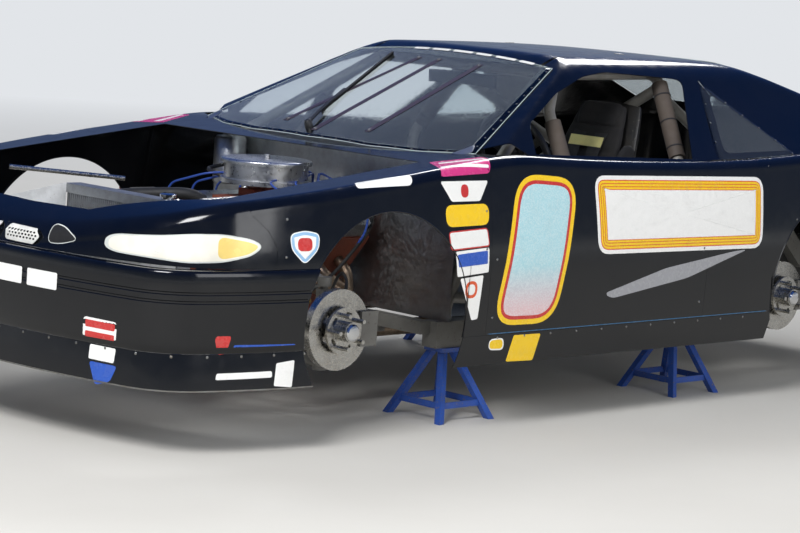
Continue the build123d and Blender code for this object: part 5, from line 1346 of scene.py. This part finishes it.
def make_padding():
    """Foam sleeves on the cage beside the seat, with tight straps round them."""
    radius = choice("padding_radius")
    sleeves, straps = [], []
    for w in (1, -1):
        sleeves.append(along(hoop_point(np.linspace(*HOOP_HEIGHTS, 12), w), circle(radius, 18), up=(1, 0, 0)))
        tube = np.linspace(*PADDED_TUBE, 3) * (1, w, 1)
        sleeves.append(along(tube, circle(radius - 1, 18), up=(1, 0, 0)))
        for height in STRAP_HEIGHTS:
            half = 3 * np.array((-0.23, w * -0.55, 0.83))
            middle = hoop_point(height, w)
            straps.append(along([middle - half, middle + half], circle(radius + 2, 18), up=(1, 0, 0)))
    piece("tube_padding", sleeves, finishes["padding"])
    piece("tube_straps", straps, finishes["belt"])


def make_cockpit():
    """Seat, harness, gauges, controls and tube padding."""
    make_seat()
    make_harness()
    make_gauges()
    make_controls()
    make_padding()


# Engine bay and running gear
HOSES = (                                    # corners, how far before them it bends, radius, points round it
    ([(62, 0, 640), (120, -20, 668), (260, -150, 654), (392, -210, 640)], 70, 23, 16),
    ([(92, 62, 470), (150, 120, 400), (300, 240, 310), (394, 270, 300)], 70, 23, 16),
    ([(-250, -120, 690), (-150, -260, 730), (-480, -420, 740), (-596, -430, 700)], 90, 8, 10),
    ([(-600, 250, 640), (-520, 330, 560), (-300, 352, 380), (60, 344, 214)], 90, 7, 10))
CAP_AT, DISTRIBUTOR = (-485.0, 0.0, 700.0), 34.0               # the plug wires' cap and their circle on it
FIRST_PORT, PORT_PITCH = -75.0, 125.0
BULKHEAD, BRACKET_FRONT = -599.0, -560.0     # stations between which brackets hold cans and tank
UP = (0, 0, 1)
# Springs: station, distance from the middle, foot, head, radius, upper end of the damper's body
COILS = ((-2667.0, 470.0, 293.0, 484.0, 52.0, 400.0), (0.0, 490.0, 187.0, 380.0, 44.0, 300.0))
WIRE = 7.5                                   # radius of the springs' wire
HUBS = (("fl", 0.0, 1), ("fr", 0.0, -1), ("rl", -2667.0, 1), ("rr", -2667.0, -1))
HUB_FACE, HUB_HEIGHT, HUB_LEAN = 790.0, 249.2, 0.0052          # cap's distance from the middle, height, lean


def helix(foot, head, radius, wire, turns, count=26):
    """Coil spring from foot to head: a round wire on a helix whose end turns close up flat."""
    foot, head = np.asarray(foot, float), np.asarray(head, float)
    t = np.linspace(0, 1, int(turns * count))
    tall = np.linalg.norm(head - foot) - 2 * wire
    rise = wire + tall * np.interp(t, [0, 0.9 / turns, 1 - 0.9 / turns, 1],
                                   [0, 1.6 * wire / tall, 1 - 1.6 * wire / tall, 1])
    angle = t * turns * 2 * pi
    return along(foot + np.c_[radius * np.cos(angle), radius * np.sin(angle), rise], circle(wire, 10))


def plug_wire(port, side):
    """A wire from the cap out over the valve cover and down to a plug."""
    x = FIRST_PORT - PORT_PITCH * port
    angle = radians(20 + 45 * port) * side
    start = np.array(CAP_AT) + (DISTRIBUTOR * cos(angle), DISTRIBUTOR * sin(angle), 0)
    route = [start, start + (0, side * 6, 44), (x - 30, side * (175 + 6 * port), 726 - 5 * port),
             (x, side * 372, 664), (x, side * 376, 560), (x + 4, side * 322, 486)]
    return along(bent(route, 44), circle(4.4, 8), up=(1, 0.02, 0))


def make_engine_bay():
    """Plug wires, hoses, fluid cans, catch tank, radiator cap and fins, and brace rods round the engine."""
    piece("plug_wires", [plug_wire(port, side) for side in (1, -1) for port in range(4)], finishes["wire"])
    piece("engine_hoses", [along(bent(corners, bend), circle(radius, count))
                           for corners, bend, radius, count in HOSES], finishes["hose"])
    can = [(-30, 0), (-30, 32), (38, 32), (42, 26), (56, 26), (60, 20), (60, 0)]
    piece("fluid_cans", [turned((-542, y, 742), UP, can) for y in (470, 400)]
          + [rod((BULKHEAD, y, 735), (BRACKET_FRONT, y, 735), 20) for y in (470, 400)], finishes["plastic"])
    tank = [(0, 0), (0, 60), (8, 66), (180, 66), (192, 58), (196, 20), (214, 20), (214, 0)]
    piece("catch_tank", [turned((-520, -520, 640), UP, tank)]
          + [rod((BULKHEAD, -520, z), (BRACKET_FRONT, -520, z), 14) for z in (700, 780)], finishes["sheet"])
    cap = [(-2, 0), (-2, 24), (10, 24), (10, 31), (20, 31), (24, 22), (24, 0)]
    piece("clamps_and_caps", [turned((425, 220, 677), UP, cap)], finishes["chrome"])
    fins = [along([(456.5, y, 278), (456.5, y, 640)], box_section(3, 4), up=(0, 1, 0))
            for y in np.arange(-318, 319, 12.0)]
    piece("radiator_fins", fins, finishes["sheet"])
    braces = [rod((180, w * 330, 690), (560, w * 560, 716), 9) for w in (1, -1)]
    piece("brace_rods", braces, finishes["steel"])


def make_running_gear():
    """Coil springs, dampers, hub caps and brake hoses."""
    springs, bodies, rods, hoses = [], [], [], []
    for w in (1, -1):
        for x, y, foot, head, radius, body_top in COILS:
            springs.append(helix((x, w * y, foot), (x, w * y, head), radius, WIRE, choice("spring_turns")))
            bodies.append(rod((x, w * y, foot + 3), (x, w * y, body_top), 24))
            rods.append(rod((x, w * y, body_top), (x, w * y, head - 2), 10))
        route = [(-70, w * 640, 330), (-150, w * 600, 400), (-230, w * 470, 430), (-240, w * 400, 300)]
        hoses.append(along(bent(route, 70), circle(6, 8)))
    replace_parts(piece("coil_springs", springs, finishes["spring"]), "springs")
    piece("damper_bodies", bodies, finishes["can"])
    piece("damper_rods", rods, finishes["chrome"])
    cap = [(-4, 0), (-4, 31), (4, 31), (9, 26), (11, 12), (11, 0)]
    for code, x, w in HUBS:
        form = turned((x, w * HUB_FACE, HUB_HEIGHT), (0, w, HUB_LEAN), cap, 32)
        piece(f"hub_cap_{code}", [form], finishes["chrome"], body=f"hub_{code}")
    piece("brake_hoses", hoses, finishes["hose"])


# Stage
BACKDROP, FLOOR = "#e2e5e9", "#d6d4cf"
FLOOR_REACH = 400.0                          # metres from the middle to the floor's edge
FADE = (4.5, 16.0)                           # metres over which the floor goes over into the backdrop
LIGHTS = (("key", (7.5, 3.0, 6.5), 3.0, 720), ("fill", (1.0, 9.0, 3.4), 4.0, 200),
          ("back", (-7.5, -4.5, 7.0), 3.0, 420))                    # name, place, size in metres, watts
AIM = Vector((0, 0, 0.6))                    # what the lights point at
EYE = Vector((6.579 + FRONT / 1000, 7.473, 1.793))                  # the camera's place
YAW, PITCH, ROLL = radians(44.50), radians(-7.04), radians(3.94)
FOCAL, FRAME_WIDTH, SENSOR = 2616, 800, 36.0                        # focal length and width in pixels, mm


def make_floor():
    """Pale floor that goes over into the backdrop away from the car."""
    material, tree, where = new_material("pale_floor")
    shader = finish(tree, linear(FLOOR), 0.85, linear("#cbc8c2"), uneven(tree, where, 900, 4))
    away = add_node(tree, "ShaderNodeVectorMath", {0: where}, operation="LENGTH").outputs["Value"]
    share = add_node(tree, "ShaderNodeMapRange", {0: away, 1: FADE[0], 2: FADE[1]}).outputs[0]
    glow = add_node(tree, "ShaderNodeEmission", {"Color": linear(BACKDROP), "Strength": 1.0})
    seen = add_node(tree, "ShaderNodeMixShader", {0: share, 1: shader.outputs[0], 2: glow.outputs[0]})
    tree.links.new(seen.outputs[0], tree.nodes["Material Output"].inputs[0])
    corners = np.array([(-1, -1, 0), (1, -1, 0), (1, 1, 0), (-1, 1, 0)]) * FLOOR_REACH
    mesh = new_mesh("floor", corners, [(0, 1, 2, 3)])
    mesh.materials.append(material)
    floor = bpy.data.objects.new("floor", mesh)
    bpy.context.scene.collection.objects.link(floor)


def make_world():
    """Three skies: a plain backdrop behind the car and its glass, a blue one that gloss mirrors, and a soft
    fill."""
    world = bpy.data.worlds.new("studio")
    bpy.context.scene.world = world
    world.use_nodes = True
    tree = world.node_tree
    tree.nodes.clear()
    ray = add_node(tree, "ShaderNodeLightPath").outputs
    seen = add_node(tree, "ShaderNodeMath", {0: ray["Is Camera Ray"], 1: ray["Is Transmission Ray"]},
                    operation="MAXIMUM")
    where = add_node(tree, "ShaderNodeTexCoord").outputs["Generated"]
    height = add_node(tree, "ShaderNodeSeparateXYZ", {"Vector": where}).outputs["Z"]
    upward = add_node(tree, "ShaderNodeMapRange", {0: height, 2: 0.4}).outputs[0]
    blues = add_node(tree, "ShaderNodeMix", {0: upward, 6: linear("#93a0b4"), 7: linear("#2b56a4")},
                     data_type="RGBA").outputs[2]
    mirrored, fill, backdrop = [
        add_node(tree, "ShaderNodeBackground", {"Color": colour, "Strength": strength}).outputs[0]
        for colour, strength in ((blues, 0.8), (linear("#dfe2e6"), 0.55), (linear(BACKDROP), 1.0))]
    soft = add_node(tree, "ShaderNodeMixShader", {0: ray["Is Glossy Ray"], 1: fill, 2: mirrored})
    sky = add_node(tree, "ShaderNodeMixShader", {0: seen.outputs[0], 1: soft.outputs[0], 2: backdrop})
    add_node(tree, "ShaderNodeOutputWorld", {"Surface": sky.outputs[0]})


def make_lights():
    """Three broad lights aimed at the car."""
    for name, spot, size, power in LIGHTS:
        lamp = bpy.data.lights.new(name, "AREA")
        lamp.size = size
        lamp.energy = power
        holder = bpy.data.objects.new(name, lamp)
        holder.location = spot
        holder.rotation_mode = "QUATERNION"
        holder.rotation_quaternion = (AIM - Vector(spot)).to_track_quat("-Z", "Y")
        bpy.context.scene.collection.objects.link(holder)


def make_camera():
    """The camera at the photograph's viewpoint: it looks back along YAW and PITCH and is rolled by ROLL."""
    ahead = Vector((-cos(YAW) * cos(PITCH), -sin(YAW) * cos(PITCH), sin(PITCH)))
    right = ahead.cross(Vector((0, 0, 1))).normalized()
    above = right.cross(ahead)
    right, above = cos(ROLL) * right + sin(ROLL) * above, -sin(ROLL) * right + cos(ROLL) * above
    camera = bpy.data.objects.new("camera", bpy.data.cameras.new("camera"))
    camera.data.sensor_width = SENSOR
    camera.data.lens = FOCAL / FRAME_WIDTH * SENSOR
    camera.data.clip_end = 1000
    turn = Matrix((right, above, -ahead)).transposed()
    camera.matrix_world = Matrix.Translation(EYE) @ turn.to_4x4()
    bpy.context.scene.collection.objects.link(camera)
    bpy.context.scene.camera = camera
    bpy.context.scene.view_settings.view_transform = "Standard"


def make_stage():
    """Floor, sky, lights and camera."""
    make_floor()
    make_world()
    make_lights()
    make_camera()


class StockCarSettings(bpy.types.PropertyGroup):
    """Sizes and colours of the dressed car that a user would change."""
    body_colour: bpy.props.FloatVectorProperty(
        name="Body colour", description="Colour of the gloss enamel, in sRGB", subtype="COLOR_GAMMA", size=3,
        default=(6 / 255, 8 / 255, 13 / 255), min=0.0, max=1.0)
    stand_colour: bpy.props.FloatVectorProperty(
        name="Stand colour", description="Colour of the axle stands' enamel, in sRGB", subtype="COLOR_GAMMA",
        size=3, default=(36 / 255, 80 / 255, 168 / 255), min=0.0, max=1.0)
    dust: bpy.props.FloatProperty(
        name="Road dust", description="Share of dust over the enamel", subtype="FACTOR", default=0.012,
        min=0.0, max=0.5)
    film_gap: bpy.props.FloatProperty(
        name="Film height", description="How far cut films stand off the skin, in millimetres", default=0.5,
        min=0.2, max=3.0)
    screw_pitch: bpy.props.FloatProperty(
        name="Screw pitch", description="Distance between the screws of the air dam, in millimetres",
        default=132.0, min=40.0, max=400.0)
    padding_radius: bpy.props.FloatProperty(
        name="Padding radius", description="Outer radius of the padding on the cage's tubes, in millimetres",
        default=34.0, min=26.0, max=50.0)
    spring_turns: bpy.props.FloatProperty(
        name="Spring turns", description="Number of turns of each coil spring", default=5.0, min=3.0, max=9.0)


class CAR_OT_stage(bpy.types.Operator):
    """Add the pale floor, the soft lights and the camera"""
    bl_idname = "car.stage"
    bl_label = "Stage"

    def execute(self, context):
        """Builds the stage."""
        make_stage()
        return {"FINISHED"}


class CAR_OT_finishes(bpy.types.Operator):
    """Make the finishes and give the frame's nodes theirs"""
    bl_idname = "car.finishes"
    bl_label = "Finishes"

    def execute(self, context):
        """Makes every material and dresses the nodes that stay."""
        finishes.update(make_finishes())
        dress_nodes()
        return {"FINISHED"}


class CAR_OT_panels(bpy.types.Operator):
    """Lay smooth skins over the fenders, doors, quarters, nose, tail, bumper and skirts"""
    bl_idname = "car.panels"
    bl_label = "Body panels"

    def execute(self, context):
        """Builds the lower body's skins."""
        make_body()
        return {"FINISHED"}


class CAR_OT_roof(bpy.types.Operator):
    """Lay a smooth skin over the roof and its pillars"""
    bl_idname = "car.roof"
    bl_label = "Roof"

    def execute(self, context):
        """Builds the cabin's skin."""
        make_roof()
        return {"FINISHED"}


class CAR_OT_glass(bpy.types.Operator):
    """Add the clear sheets with their screws and edges"""
    bl_idname = "car.glass"
    bl_label = "Clear sheets"

    def execute(self, context):
        """Builds the windscreen, rear window and quarter panes."""
        make_glass()
        return {"FINISHED"}


class CAR_OT_films(bpy.types.Operator):
    """Add the plain plates, stripes and bands of cut film"""
    bl_idname = "car.films"
    bl_label = "Films"

    def execute(self, context):
        """Builds the films."""
        make_films()
        return {"FINISHED"}


class CAR_OT_lamps(bpy.types.Operator):
    """Add the headlamp panels"""
    bl_idname = "car.lamps"
    bl_label = "Headlamp panels"

    def execute(self, context):
        """Builds the lamp films."""
        make_lamps()
        return {"FINISHED"}


class CAR_OT_trim(bpy.types.Operator):
    """Add lips, screws, straps, wiper and tail lamps"""
    bl_idname = "car.trim"
    bl_label = "Outer trim"

    def execute(self, context):
        """Builds the outer trim."""
        make_trim()
        return {"FINISHED"}


class CAR_OT_cockpit(bpy.types.Operator):
    """Add the padded seat, harness, gauges, shifter, mirror and tube padding"""
    bl_idname = "car.cockpit"
    bl_label = "Cockpit"

    def execute(self, context):
        """Builds the cockpit."""
        make_cockpit()
        return {"FINISHED"}


class CAR_OT_engine_bay(bpy.types.Operator):
    """Add plug wires, hoses, cans, fins and rods round the engine"""
    bl_idname = "car.engine_bay"
    bl_label = "Engine bay"

    def execute(self, context):
        """Builds what lies round the engine."""
        make_engine_bay()
        return {"FINISHED"}


class CAR_OT_running_gear(bpy.types.Operator):
    """Add coil springs, dampers, brake hoses and hub caps"""
    bl_idname = "car.running_gear"
    bl_label = "Running gear"

    def execute(self, context):
        """Builds springs, dampers, hoses and caps."""
        make_running_gear()
        return {"FINISHED"}


OPERATORS = (CAR_OT_finishes, CAR_OT_stage, CAR_OT_panels, CAR_OT_roof, CAR_OT_glass, CAR_OT_films,
             CAR_OT_lamps, CAR_OT_trim, CAR_OT_cockpit, CAR_OT_engine_bay, CAR_OT_running_gear)


class CAR_PT_stock_car(bpy.types.Panel):
    """Lists the stock car's pieces and settings"""
    bl_idname = "CAR_PT_stock_car"
    bl_label = "Stock car"
    bl_space_type = "VIEW_3D"
    bl_region_type = "UI"
    bl_category = "Stock car"

    def draw(self, context):
        """Draws the settings and one button for each operator."""
        settings = context.scene.stock_car
        for name in StockCarSettings.__annotations__:
            self.layout.prop(settings, name)
        for operator in OPERATORS:
            self.layout.operator(operator.bl_idname)


CLASSES = (StockCarSettings, *OPERATORS, CAR_PT_stock_car)


def register():
    """Registers the classes and the settings."""
    for kind in CLASSES:
        bpy.utils.register_class(kind)
    bpy.types.Scene.stock_car = bpy.props.PointerProperty(type=StockCarSettings)


def unregister():
    """Removes the settings and the classes."""
    del bpy.types.Scene.stock_car
    for kind in reversed(CLASSES):
        bpy.utils.unregister_class(kind)


def main():
    """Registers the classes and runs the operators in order."""
    register()
    for operator in OPERATORS:
        getattr(bpy.ops.car, operator.bl_idname.removeprefix("car."))()


if __name__ == "__main__":
    main()
